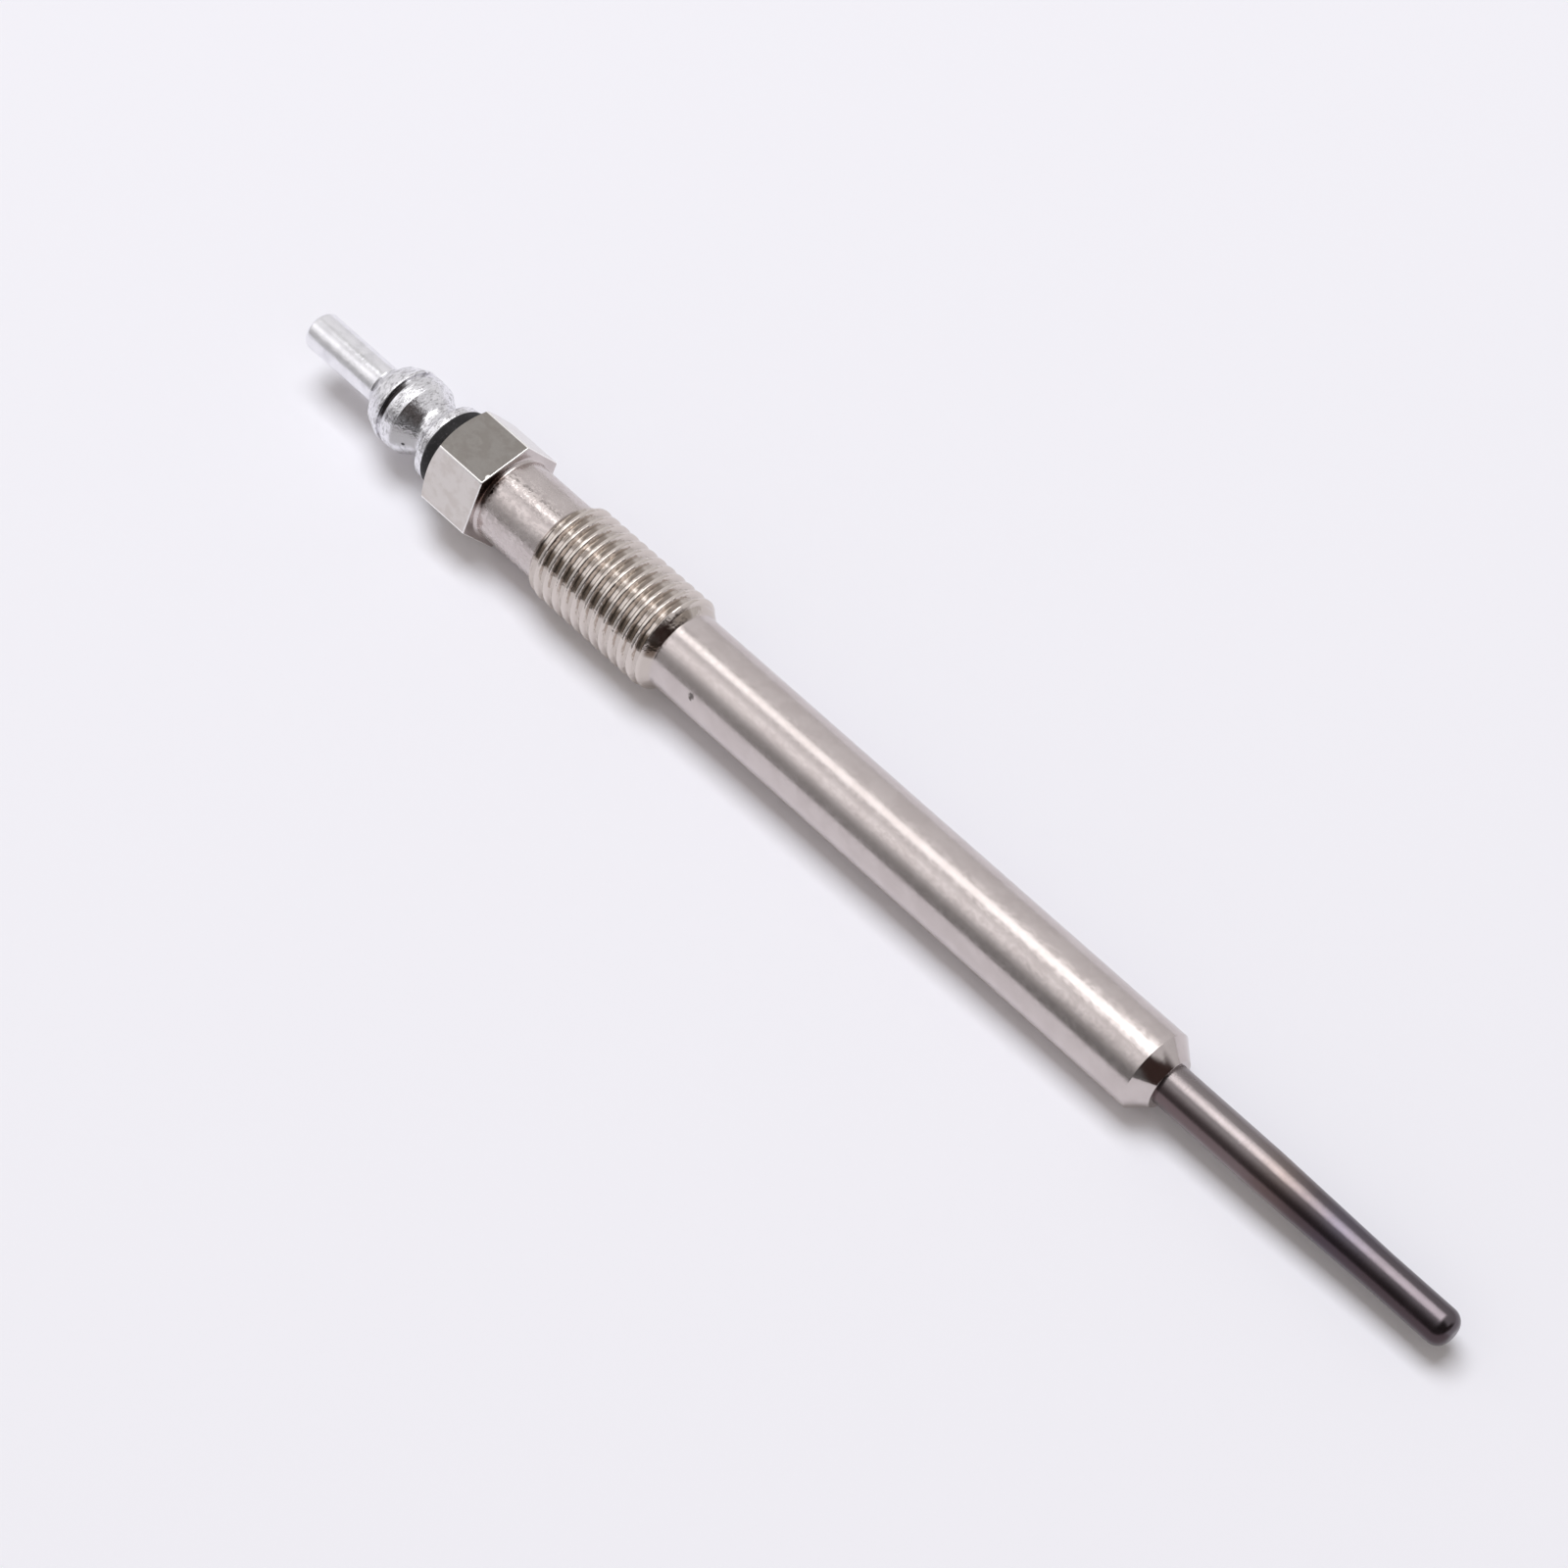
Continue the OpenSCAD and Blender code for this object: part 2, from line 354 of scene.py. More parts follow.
class Board:
    """A node tree with short ways to place and link nodes."""

    def __init__(self, tree: bpy.types.NodeTree) -> None:
        """Takes over an empty tree."""
        self.tree = tree

    def put(self, socket: bpy.types.NodeSocket, value: Any) -> None:
        """Links a socket to a node's output, or sets its own value.

        Args:
            socket: The input socket.
            value: An output socket, a number, a vector or a colour.
        """
        if isinstance(value, bpy.types.NodeSocket):
            self.tree.links.new(value, socket)
        elif socket.type == "RGBA" and len(value) == 3:
            socket.default_value = (*value, 1.0)
        else:
            socket.default_value = value

    def add(self, kind: str, inputs: dict[str | int, Any] | None = None, **settings: Any) -> bpy.types.Node:
        """Places a node.

        Args:
            kind: Name of the node type after ShaderNode.
            inputs: Values or sources of its input sockets.
            settings: Its own properties.

        Returns:
            The node.
        """
        node = self.tree.nodes.new("ShaderNode" + kind)
        for key, value in settings.items():
            setattr(node, key, value)
        for key, value in (inputs or {}).items():
            self.put(node.inputs[key], value)
        return node

    def math(self, operation: str, *values: Any) -> bpy.types.NodeSocket:
        """Output of a Math node on one, two or three values."""
        return self.add("Math", dict(enumerate(values)), operation=operation).outputs[0]

    def ramp(self, value: Any, low: float, high: float, out_low: float = 0.0,
             out_high: float = 1.0) -> bpy.types.NodeSocket:
        """A smooth step of a value between two limits.

        Args:
            value: The value to read.
            low: Where the step starts.
            high: Where the step ends.
            out_low: Result at the start.
            out_high: Result at the end.

        Returns:
            The output socket.
        """
        limits = {"Value": value, "From Min": low, "From Max": high, "To Min": out_low, "To Max": out_high}
        return self.add("MapRange", limits, interpolation_type="SMOOTHSTEP").outputs["Result"]

    def between(self, value: Any, low: float, high: float, soft: float) -> bpy.types.NodeSocket:
        """A mask that is one between two limits and fades over a soft width beside them.

        Args:
            value: The value to read.
            low: Lower limit.
            high: Upper limit.
            soft: Width of the fade on each side of a limit.

        Returns:
            The output socket.
        """
        rise = self.ramp(value, low - soft, low + soft)
        fall = self.ramp(value, high - soft, high + soft, 1.0, 0.0)
        return self.times(rise, fall)

    def step(self, value: Any, origin: float, offsets: Point, falling: bool = False) -> bpy.types.NodeSocket:
        """A smooth step between two offsets from an origin, from zero to one or the other way."""
        ends = (1.0, 0.0) if falling else (0.0, 1.0)
        return self.ramp(value, origin + offsets[0], origin + offsets[1], *ends)

    def times(self, a: Any, b: Any) -> bpy.types.NodeSocket:
        """Product of two values."""
        return self.math("MULTIPLY", a, b)

    def most(self, a: Any, b: Any) -> bpy.types.NodeSocket:
        """The greater of two values."""
        return self.math("MAXIMUM", a, b)

    def swing(self, noise: Any, reach: float) -> bpy.types.NodeSocket:
        """Noise of about 0.5 as a swing about zero, scaled by a reach."""
        return self.times(self.math("SUBTRACT", noise, 0.5), reach)

    def vector(self, operation: str, *values: Any) -> bpy.types.NodeSocket:
        """Result of a Vector Math node: a number for a dot product or a length, else a vector."""
        node = self.add("VectorMath", dict(enumerate(values)), operation=operation)
        return node.outputs["Value" if operation in ("DOT_PRODUCT", "LENGTH") else "Vector"]

    def group(self, tree: bpy.types.NodeTree, inputs: dict[str, Any] | None = None) -> Any:
        """Outputs of a node group that is placed with some values."""
        return self.add("Group", inputs, node_tree=tree).outputs

    def mix(self, factor: Any, a: Any, b: Any, kind: str = "RGBA",
            ending: str = "Color") -> bpy.types.NodeSocket:
        """Mixes two colours, or two values of another kind.

        Args:
            factor: Share of the second one.
            a: First colour or value.
            b: Second colour or value.
            kind: Data type of the Mix node.
            ending: End of the identifiers of its sockets for that type.

        Returns:
            The output socket.
        """
        node = self.add("Mix", data_type=kind)
        for name, value in (("Factor_Float", factor), ("A_" + ending, a), ("B_" + ending, b)):
            self.put(next(socket for socket in node.inputs if socket.identifier == name), value)
        return next(socket for socket in node.outputs if socket.identifier == "Result_" + ending)

    def blend(self, factor: Any, a: Any, b: Any) -> bpy.types.NodeSocket:
        """A value between two others, by the share of the second."""
        return self.mix(factor, a, b, "FLOAT", "Float")

    def colour_ramp(self, value: Any, stops: Sequence[tuple[float, Colour]],
                    interpolation: str = "LINEAR") -> bpy.types.NodeSocket:
        """Colour that a value picks between stops.

        Args:
            value: The value to read.
            stops: Place and colour of each stop, in order.
            interpolation: How colours change between stops.

        Returns:
            The output socket.
        """
        ramp = self.add("ValToRGB", {"Fac": value})
        ramp.color_ramp.interpolation = interpolation
        elements = ramp.color_ramp.elements
        while len(elements) < len(stops):
            elements.new(0.5)
        for element, (place, colour) in zip(elements, stops):
            element.position = place
            element.color = (*colour, 1.0)
        return ramp.outputs["Color"]

    def noise(self, vector: Any, stretch: Colour, detail: float, roughness: float) -> bpy.types.NodeSocket:
        """Noise on drawing coordinates, stretched along each direction.

        Args:
            vector: Coordinates in mm.
            stretch: Waves per mm along X, Y and Z of the drawing.
            detail: Number of finer layers.
            roughness: Strength of the finer layers.

        Returns:
            The value of the noise, about 0.5 on average.
        """
        values = {"Vector": self.vector("MULTIPLY", vector, stretch), "Scale": 1.0, "Detail": detail,
                  "Roughness": roughness}
        return self.add("TexNoise", values, noise_dimensions="3D").outputs[0]

    def bump(self, height: Any, distance_um: float, normal: Any = None) -> bpy.types.NodeSocket:
        """Normal of a surface that rises by a height of up to some micrometres.

        Args:
            height: The height, from 0 to 1.
            distance_um: Rise at a height of 1.
            normal: Normal of a bump below this one.

        Returns:
            The normal.
        """
        node = self.add("Bump", {"Strength": 1.0, "Distance": distance_um * MM * MM, "Height": height})
        if normal is not None:
            self.put(node.inputs["Normal"], normal)
        return node.outputs["Normal"]


def new_group(name: str, inputs: dict[str, float], outputs: Sequence[tuple[str, str]]) -> Board:
    """Starts a shader node group.

    Args:
        name: Name of the group.
        inputs: Number sockets with their usual values; one named Vector is a vector.
        outputs: Name and kind of each output socket.

    Returns:
        A board on the group's tree, with its input and output nodes in place.
    """
    tree = bpy.data.node_groups.new(name, "ShaderNodeTree")
    for key, value in inputs.items():
        kind = "NodeSocketVector" if key == "Vector" else "NodeSocketFloat"
        socket = tree.interface.new_socket(key, in_out="INPUT", socket_type=kind)
        if kind == "NodeSocketFloat":
            socket.default_value = value
    for key, kind in outputs:
        tree.interface.new_socket(key, in_out="OUTPUT", socket_type="NodeSocket" + kind)
    return Board(tree)


class Effects:
    """Node groups that more than one finish uses."""

    ring_detail, ring_roughness = 3.0, 0.65
    patch_detail, grain_detail, blotch_roughness = 3.0, 2.0, 0.55

    def __init__(self, axis: PlugAxis) -> None:
        """Builds the groups for a plug that lies on an axis."""
        self.axis = axis
        self.drawing = self._drawing()
        self.turning = self._turning()
        self.blotches = self._blotches()

    def _drawing(self) -> bpy.types.NodeTree:
        """Coordinates in the drawing: a vector in mm, the station and the radius.

        Returns:
            The node group.
        """
        outputs = (("Vector", "Vector"), ("Station", "Float"), ("Radius", "Float"))
        board = new_group("drawing_coordinates", {}, outputs)
        out = board.tree.nodes.new("NodeGroupOutput")
        location, turn = self.axis.into_drawing()
        place = {"Vector": board.add("TexCoord").outputs["Object"], "Location": location, "Rotation": turn,
                 "Scale": (1 / MM, 1 / MM, 1 / MM)}
        vector = board.add("Mapping", place, vector_type="POINT").outputs[0]
        x, y, station = board.add("SeparateXYZ", {0: vector}).outputs
        radius = board.math("SQRT", board.math("ADD", board.times(x, x), board.times(y, y)))
        for key, value in (("Vector", vector), ("Station", station), ("Radius", radius)):
            board.put(out.inputs[key], value)
        return board.tree

    def _turning(self) -> bpy.types.NodeTree:
        """Fine rings that a cutting tool leaves round a turned piece.

        Returns:
            The node group.
        """
        inputs = {"Vector": 0.0, "Marks per mm": 8.0, "Drift": 0.12}
        board = new_group("turning_marks", inputs, (("Height", "Float"),))
        source = board.tree.nodes.new("NodeGroupInput").outputs
        out = board.tree.nodes.new("NodeGroupOutput")
        drift = source["Drift"]
        stretch = board.add("CombineXYZ", {0: drift, 1: drift, 2: source["Marks per mm"]}).outputs[0]
        vector = board.vector("MULTIPLY", source["Vector"], stretch)
        values = {"Vector": vector, "Scale": 1.0, "Detail": self.ring_detail,
                  "Roughness": self.ring_roughness}
        board.put(out.inputs["Height"], board.add("TexNoise", values).outputs[0])
        return board.tree

    def _blotches(self) -> bpy.types.NodeTree:
        """Uneven patches of a plated or stained surface, and the finer grain inside them.

        Returns:
            The node group.
        """
        board = new_group("blotches", {"Vector": 0.0, "Patches per mm": 0.5, "Grain per mm": 4.0},
                          (("Patches", "Float"), ("Grain", "Float")))
        source = board.tree.nodes.new("NodeGroupInput").outputs
        out = board.tree.nodes.new("NodeGroupOutput")
        for name, detail in (("Patches", self.patch_detail), ("Grain", self.grain_detail)):
            values = {"Vector": source["Vector"], "Scale": source[name + " per mm"], "Detail": detail,
                      "Roughness": self.blotch_roughness}
            board.put(out.inputs[name], board.add("TexNoise", values).outputs[0])
        return board.tree


class Finish:
    """Start of a material on the drawing's coordinates, and masks on them."""

    def start(self, name: str, effects: Effects) -> tuple[bpy.types.Material, Board, bpy.types.Node, Any]:
        """Makes a material with a shader and the drawing's coordinates.

        Args:
            name: Name of the material.
            effects: The shared node groups.

        Returns:
            The material, a board on its tree, its shader and the outputs of the coordinates.
        """
        material = bpy.data.materials.new(name)
        material.use_nodes = True
        board = Board(material.node_tree)
        board.tree.nodes.clear()
        shader = board.add("BsdfPrincipled")
        out = board.add("OutputMaterial")
        board.put(out.inputs["Surface"], shader.outputs["BSDF"])
        return material, board, shader, board.group(effects.drawing)

    def rings(self, board: Board, effects: Effects, vector: Any, per_mm: float, drift: float = 0.12) -> Any:
        """Height of turning marks."""
        inputs = {"Vector": vector, "Marks per mm": per_mm, "Drift": drift}
        return board.group(effects.turning, inputs)["Height"]

    def patches(self, board: Board, effects: Effects, vector: Any, per_mm: Point) -> Any:
        """Outputs of the blotches: patches and grain, with so many of each per mm."""
        inputs = {"Vector": vector, "Patches per mm": per_mm[0], "Grain per mm": per_mm[1]}
        return board.group(effects.blotches, inputs)

    def facing(self, board: Board, vector: Any, turn_deg: float, low_deg: float, high_deg: float) -> Any:
        """Mask of the side that faces one way round the axis.

        Args:
            board: The board to place nodes on.
            vector: The drawing's coordinates.
            turn_deg: Angle of that way in the drawing, from its X toward its Y.
            low_deg: Angle from it where the mask starts to fade.
            high_deg: Angle from it where the mask ends.

        Returns:
            The mask.
        """
        way = (math.cos(math.radians(turn_deg)), math.sin(math.radians(turn_deg)), 0.0)
        unit = board.vector("NORMALIZE", board.vector("MULTIPLY", vector, (1.0, 1.0, 0.0)))
        share = board.vector("DOT_PRODUCT", unit, way)
        return board.ramp(share, math.cos(math.radians(high_deg)), math.cos(math.radians(low_deg)))

    def distance(self, board: Board, vector: Any, place: Place, stretch: Colour = (1.0, 1.0, 1.0)) -> Any:
        """Distance from a place in the drawing, in mm, stretched along each direction."""
        away = board.vector("SUBTRACT", vector, place)
        return board.vector("LENGTH", board.vector("MULTIPLY", away, stretch))


@dataclass(frozen=True)
class NickelPlate(Finish):
    """Warm nickel plate of the steel body: grime in the thread's valleys, painted shade there in streaks, in
    the corner by the hexagon and at the thread's run-out, painted highlights on the hexagon's edges, and a
    glossy cone seat.

    A side is an angle round the axis and the angles beside it where its mask starts to fade and ends.
    A grain is the stretch, detail and roughness of a noise. Stations and radii are offsets in mm.
    """

    barrel_colour: Colour = (0.615, 0.557, 0.541)
    dull_colour: Colour = (0.570, 0.513, 0.497)
    hexagon_colour: Colour = (0.660, 0.622, 0.592)
    # Painted highlight on the hexagon's edges and on a blob at its front edge, with some real wear that rubs
    # edges bright.
    hexagon_shade: Colour = (0.600, 0.556, 0.522)
    thread_colour: Colour = (0.67, 0.61, 0.565)
    # Dark colour of the thread's valleys: grime, and painted shade where the streaks darken them.
    root_grime_and_shade_colour: Colour = (0.20, 0.155, 0.12)
    edge_highlight_colour: Colour = (0.97, 0.95, 0.93)
    # Painted shade in the corner between hexagon and shank and at the thread's run-out.
    painted_shade_colour: Colour = (0.13, 0.085, 0.070)
    nick_colour: Colour = (0.06, 0.05, 0.045)
    barrel_roughness: Point = (0.17, 0.245)
    shank_roughness: Point = (0.13, 0.36)
    thread_roughness: float = 0.18
    hexagon_roughness: float = 0.09
    seat_roughness: float = 0.09
    edge_roughness: float = 0.35
    blotches_per_mm: Point = (0.45, 3.0)
    patch_range: Point = (0.35, 0.65)
    worn: Grain = ((0.9, 0.9, 0.7), 4.0, 0.6)
    worn_range: Point = (0.42, 0.62)
    speckle: Grain = ((2.6, 2.6, 1.8), 3.0, 0.6)
    speckle_range: Point = (0.40, 0.60)
    lumps: Grain = ((1.7, 1.7, 1.4), 2.5, 0.5)
    lumps_um: float = 45.0
    shank_lumps: float = 0.5
    thread_lumps: float = 1.3
    barrel_lumps: Point = (0.16, 0.07)
    barrel_lumps_along: Point = (1.0, 12.0)
    marks_per_mm: float = 7.0
    fine_shares: Point = (0.6, 0.4)
    fine_um: float = 2.5
    hexagon_end: Point = (-0.1, 0.02)
    shank_soft: float = 0.3
    thread_soft: float = 0.2
    seat_start: Point = (-0.05, 0.05)
    edge_end: Point = (-0.03, -0.01)
    edge_corners: Point = (-0.075, -0.06)
    edge_front: Point = (-0.01, 0.02)
    edge_flats: Point = (-0.15, -0.10)
    highlight_blob_edge: Point = (0.22, 0.36)
    crest_depth: float = 0.12
    usual_grime: float = 0.18
    # Streaks of painted shade: sides round the axis where the valleys are darkened much more, and how
    # strongly.
    shade_streaks: tuple[tuple[Side, float], ...] = (
        ((225.5, 6.0, 15.0), 0.97), ((172.0, 8.0, 18.0), 0.75), ((194.0, 3.0, 8.0), 0.6),
    )
    shade_ragged: float = 1.2
    corner_shade_side: Side = (212.0, 14.0, 34.0)
    corner_shade_start: Point = (-0.03, 0.0)
    corner_shade_end: Point = (0.15, 1.1)
    run_out_shade_side: Side = (215.0, 12.0, 24.0)
    run_out_shade_along: Point = (-1.0, 0.15)
    run_out_shade_soft: float = 0.3
    run_out_shade_share: float = 0.35
    nick_stretch: Colour = (0.65, 0.65, 0.95)
    nick_grain: Grain = ((5.0, 5.0, 5.0), 3.0, 0.5)
    nick_ragged: float = 0.5
    nick_edge: Point = (0.38, 0.60)
    nick_share: float = 0.85
    nick_metal_range: Point = (0.3, 0.9)
    nick_metallic: float = 0.3

    def material(self, effects: Effects, body: "Body") -> bpy.types.Material:
        """Builds the finish.

        Args:
            effects: The shared node groups.
            body: The body, for the stations of its parts.

        Returns:
            The material.
        """
        material, board, shader, drawing = self.start("nickel_plate", effects)
        vector, station, radius = drawing["Vector"], drawing["Station"], drawing["Radius"]
        blotch = self.patches(board, effects, vector, self.blotches_per_mm)
        on_hexagon = board.step(station, body.shank_s, self.hexagon_end, falling=True)
        on_shank = board.between(station, body.shank_s + self.shank_soft, body.thread_s, self.shank_soft)
        on_thread = board.between(station, body.thread_s, body.barrel_s, self.thread_soft)
        on_seat = board.step(station, body.seat_s, self.seat_start)
        edge = self._edge_highlights(board, vector, station, radius, body)
        nick = self._nick(board, vector, body)
        patchy = board.ramp(blotch["Patches"], *self.patch_range)
        colour = board.mix(patchy, self.barrel_colour, self.dull_colour)
        worn = board.ramp(board.noise(vector, *self.worn), *self.worn_range)
        colour = board.mix(on_hexagon, colour, board.mix(worn, self.hexagon_colour, self.hexagon_shade))
        colour = board.mix(on_thread, colour, self._thread(board, vector, radius, body))
        # Painted highlight along the hexagon's edges.
        colour = board.mix(edge, colour, self.edge_highlight_colour)
        # Painted shade, brown, in the corner by the hexagon and at the thread's run-out.
        painted_shade = self._painted_shade(board, vector, station, blotch["Grain"], body)
        colour = board.mix(painted_shade, colour, self.painted_shade_colour)
        board.put(shader.inputs["Base Color"], board.mix(nick, colour, self.nick_colour))
        metallic = board.ramp(nick, *self.nick_metal_range, 1.0, self.nick_metallic)
        board.put(shader.inputs["Metallic"], metallic)
        speckle = board.noise(vector, *self.speckle)
        rough = board.ramp(speckle, *self.speckle_range, *self.barrel_roughness)
        on_shank_rough = board.ramp(speckle, *self.speckle_range, *self.shank_roughness)
        for mask, value in ((on_shank, on_shank_rough), (on_thread, self.thread_roughness),
                            (on_hexagon, self.hexagon_roughness), (on_seat, self.seat_roughness),
                            (edge, self.edge_roughness)):
            rough = board.blend(mask, rough, value)
        board.put(shader.inputs["Roughness"], rough)
        along = (body.barrel_s + off for off in self.barrel_lumps_along)
        uneven = board.blend(on_thread, board.ramp(station, *along, *self.barrel_lumps), self.thread_lumps)
        uneven = board.blend(on_shank, uneven, self.shank_lumps)
        uneven = board.times(uneven, board.math("SUBTRACT", 1.0, board.most(on_hexagon, on_seat)))
        lumpy = board.bump(board.times(board.noise(vector, *self.lumps), uneven), self.lumps_um)
        marks = self.rings(board, effects, vector, self.marks_per_mm)
        grain_share, marks_share = self.fine_shares
        fine = board.math("ADD", board.times(blotch["Grain"], grain_share), board.times(marks, marks_share))
        board.put(shader.inputs["Normal"], board.bump(fine, self.fine_um, lumpy))
        return material

    def _thread(self, board: Board, vector: Any, radius: Any, body: "Body") -> Any:
        """Colour of the thread, with some grime in its valleys and painted shade that darkens them much more
        on some sides round the axis.

        Args:
            board: The board to place nodes on.
            vector: The drawing's coordinates.
            radius: The radius there.
            body: The body, for the places of its parts.

        Returns:
            The colour.
        """
        deep = board.ramp(radius, body.root_r, body.thread_r - self.crest_depth, 1.0, 0.0)
        grime_and_shade: Any = self.usual_grime
        for side, share in self.shade_streaks:
            # Painted shade: streaks on some sides darken the valleys beyond the grime.
            grime_and_shade = board.most(grime_and_shade, board.times(self.facing(board, vector, *side), share))
        return board.mix(board.times(deep, grime_and_shade), self.thread_colour, self.root_grime_and_shade_colour)

    def _edge_highlights(self, board: Board, vector: Any, station: Any, radius: Any, body: "Body") -> Any:
        """Mask of the hexagon's edges and of a blob on one of them, painted bright as highlights; wear rubs
        such edges bright as well.

        Args:
            board: The board to place nodes on.
            vector: The drawing's coordinates.
            station: The station there.
            radius: The radius there.
            body: The body, for the places of its parts.

        Returns:
            The mask.
        """
        before_end = board.step(station, body.shank_s, self.edge_end, falling=True)
        corners = board.step(radius, body.corner_r, self.edge_corners)
        front = board.step(station, body.shank_s - body.hex_edge, self.edge_front)
        outside = board.step(radius, body.hex_af / 2, self.edge_flats)
        edges = board.times(before_end, board.most(corners, board.times(front, outside)))
        highlight_blob = self.distance(board, vector, body.highlight_blob_place())
        return board.most(edges, board.ramp(highlight_blob, *self.highlight_blob_edge, 1.0, 0.0))

    def _painted_shade(self, board: Board, vector: Any, station: Any, grain: Any, body: "Body") -> Any:
        """Mask of brown painted shade in the corner between hexagon and shank, and of a weaker patch of
        painted shade on one side of the thread's run-out.

        Args:
            board: The board to place nodes on.
            vector: The drawing's coordinates.
            station: The station there.
            grain: Noise that makes the shade's end ragged.
            body: The body, for the places of its parts.

        Returns:
            The mask.
        """
        reach = board.math("ADD", station, board.swing(grain, self.shade_ragged))
        along = board.times(board.step(station, body.shank_s, self.corner_shade_start),
                            board.step(reach, body.shank_s, self.corner_shade_end, falling=True))
        corner = board.times(along, self.facing(board, vector, *self.corner_shade_side))
        stations = (body.barrel_s + off for off in self.run_out_shade_along)
        run_out = board.between(reach, *stations, self.run_out_shade_soft)
        end = board.times(run_out, self.facing(board, vector, *self.run_out_shade_side))
        return board.most(corner, board.times(end, self.run_out_shade_share))

    def _nick(self, board: Board, vector: Any, body: "Body") -> Any:
        """Mask of the small dark nick on the barrel, behind the thread.

        Args:
            board: The board to place nodes on.
            vector: The drawing's coordinates.
            body: The body, for the places of its parts.

        Returns:
            The mask.
        """
        distance = self.distance(board, vector, body.nick_place(), self.nick_stretch)
        rough_edge = board.times(board.noise(vector, *self.nick_grain), self.nick_ragged)
        return board.ramp(board.math("ADD", distance, rough_edge), *self.nick_edge, self.nick_share, 0.0)


@dataclass(frozen=True)
class TurnedAluminium(Finish):
    """Bright aluminium of the terminal, with torn turning marks on its collar, and painted shade under its
    back cone and in its groove.
    """

    colour: Colour = (0.90, 0.895, 0.92)
    shade_colour: Colour = (0.78, 0.775, 0.80)
    torn_colour: Colour = (0.40, 0.39, 0.40)
    # Painted shade on the underside of the collar's back cone.
    underside_shade_colour: Colour = (0.46, 0.45, 0.45)
    # Near black: a dark speck, and painted shade in the collar's groove.
    speck_and_groove_shade_colour: Colour = (0.05, 0.045, 0.045)
    roughness: float = 0.22
    roughness_swing: float = 0.2
    blotches_per_mm: Point = (0.6, 2.2)
    patch_range: Point = (0.4, 0.7)
    marks_per_mm: float = 5.0
    marks_drift: float = 0.25
    marks_um: float = 6.0
    torn: Grain = ((2.6, 2.6, 1.8), 4.0, 0.62)
    torn_um: float = 62.0
    ragged: Grain = ((1.5, 1.5, 4.2), 4.0, 0.7)
    ragged_range: Point = (0.47, 0.64)
    ragged_share: float = 0.8
    collar_start: Point = (-0.5, 1.5)
    pin_share: float = 0.35
    streaks_from: float = 0.4
    underside_shade_stations: Point = (14.9, 17.4)
    underside_shade_soft: float = 0.3
    underside_shade_side: Side = (252.0, 10.0, 26.0)
    speck_place: Place = (-0.22, -3.2, 16.1)
    speck_edge: Point = (0.12, 0.24)
    groove_soft: float = 0.04
    groove_shade_depths: Point = (-0.25, -0.05)
    groove_shade_side: Side = (211.0, 24.0, 42.0)

    def material(self, effects: Effects, terminal: "Terminal") -> bpy.types.Material:
        """Builds the finish.

        Args:
            effects: The shared node groups.
            terminal: The terminal, for the place of its groove.

        Returns:
            The material.
        """
        material, board, shader, drawing = self.start("turned_aluminium", effects)
        vector, station = drawing["Vector"], drawing["Station"]
        blotch = self.patches(board, effects, vector, self.blotches_per_mm)
        marks = self.rings(board, effects, vector, self.marks_per_mm, self.marks_drift)
        colour = board.mix(board.ramp(blotch["Patches"], *self.patch_range), self.colour, self.shade_colour)
        collar = (terminal.pin_l + off for off in self.collar_start)
        on_collar = board.ramp(station, *collar, self.pin_share, 1.0)
        ragged = board.ramp(board.noise(vector, *self.ragged), *self.ragged_range, 0.0, self.ragged_share)
        streaks = board.times(ragged, board.ramp(on_collar, self.streaks_from, 1.0))
        colour = board.mix(streaks, colour, self.torn_colour)
        # Painted shade: the underside of the back cone is darkened.
        underside_shade = board.between(station, *self.underside_shade_stations, self.underside_shade_soft)
        underside_shade = board.times(underside_shade, self.facing(board, vector, *self.underside_shade_side))
        colour = board.mix(underside_shade, colour, self.underside_shade_colour)
        speck = self.distance(board, vector, self.speck_place)
        colour = board.mix(board.ramp(speck, *self.speck_edge, 1.0, 0.0), colour, self.speck_and_groove_shade_colour)
        # Painted shade, near black, in the groove between the collar's ridges on one side.
        in_groove = board.between(station, *terminal.groove_stations(), self.groove_soft)
        deep = board.step(drawing["Radius"], terminal.collar_r, self.groove_shade_depths, falling=True)
        groove_shade = board.times(board.times(in_groove, deep), self.facing(board, vector, *self.groove_shade_side))
        board.put(shader.inputs["Base Color"], board.mix(groove_shade, colour, self.speck_and_groove_shade_colour))
        shader.inputs["Metallic"].default_value = 1.0
        rough = board.math("ADD", self.roughness, board.swing(marks, self.roughness_swing))
        board.put(shader.inputs["Roughness"], rough)
        uneven = board.bump(board.times(board.noise(vector, *self.torn), on_collar), self.torn_um)
        board.put(shader.inputs["Normal"], board.bump(marks, self.marks_um, uneven))
        return material


@dataclass(frozen=True)
class BlackMoulding(Finish):
    """Matt black insulating washer with pale dust specks."""

    colour: Colour = (0.010, 0.009, 0.010)
    dust_colour: Colour = (0.07, 0.068, 0.072)
    specular: float = 0.3
    roughness: Point = (0.5, 0.65)
    roughness_range: Point = (0.3, 0.7)
    blotches_per_mm: Point = (1.2, 7.0)
    dust_range: Point = (0.60, 0.74)
    grain_um: float = 8.0

    def material(self, effects: Effects) -> bpy.types.Material:
        """Builds the finish.

        Args:
            effects: The shared node groups.

        Returns:
            The material.
        """
        material, board, shader, drawing = self.start("black_moulding", effects)
        blotch = self.patches(board, effects, drawing["Vector"], self.blotches_per_mm)
        dust = board.ramp(blotch["Grain"], *self.dust_range)
        rough = board.ramp(blotch["Patches"], *self.roughness_range, *self.roughness)
        shader.inputs["Specular IOR Level"].default_value = self.specular
        board.put(shader.inputs["Base Color"], board.mix(dust, self.colour, self.dust_colour))
        board.put(shader.inputs["Roughness"], rough)
        board.put(shader.inputs["Normal"], board.bump(blotch["Grain"], self.grain_um))
        return material


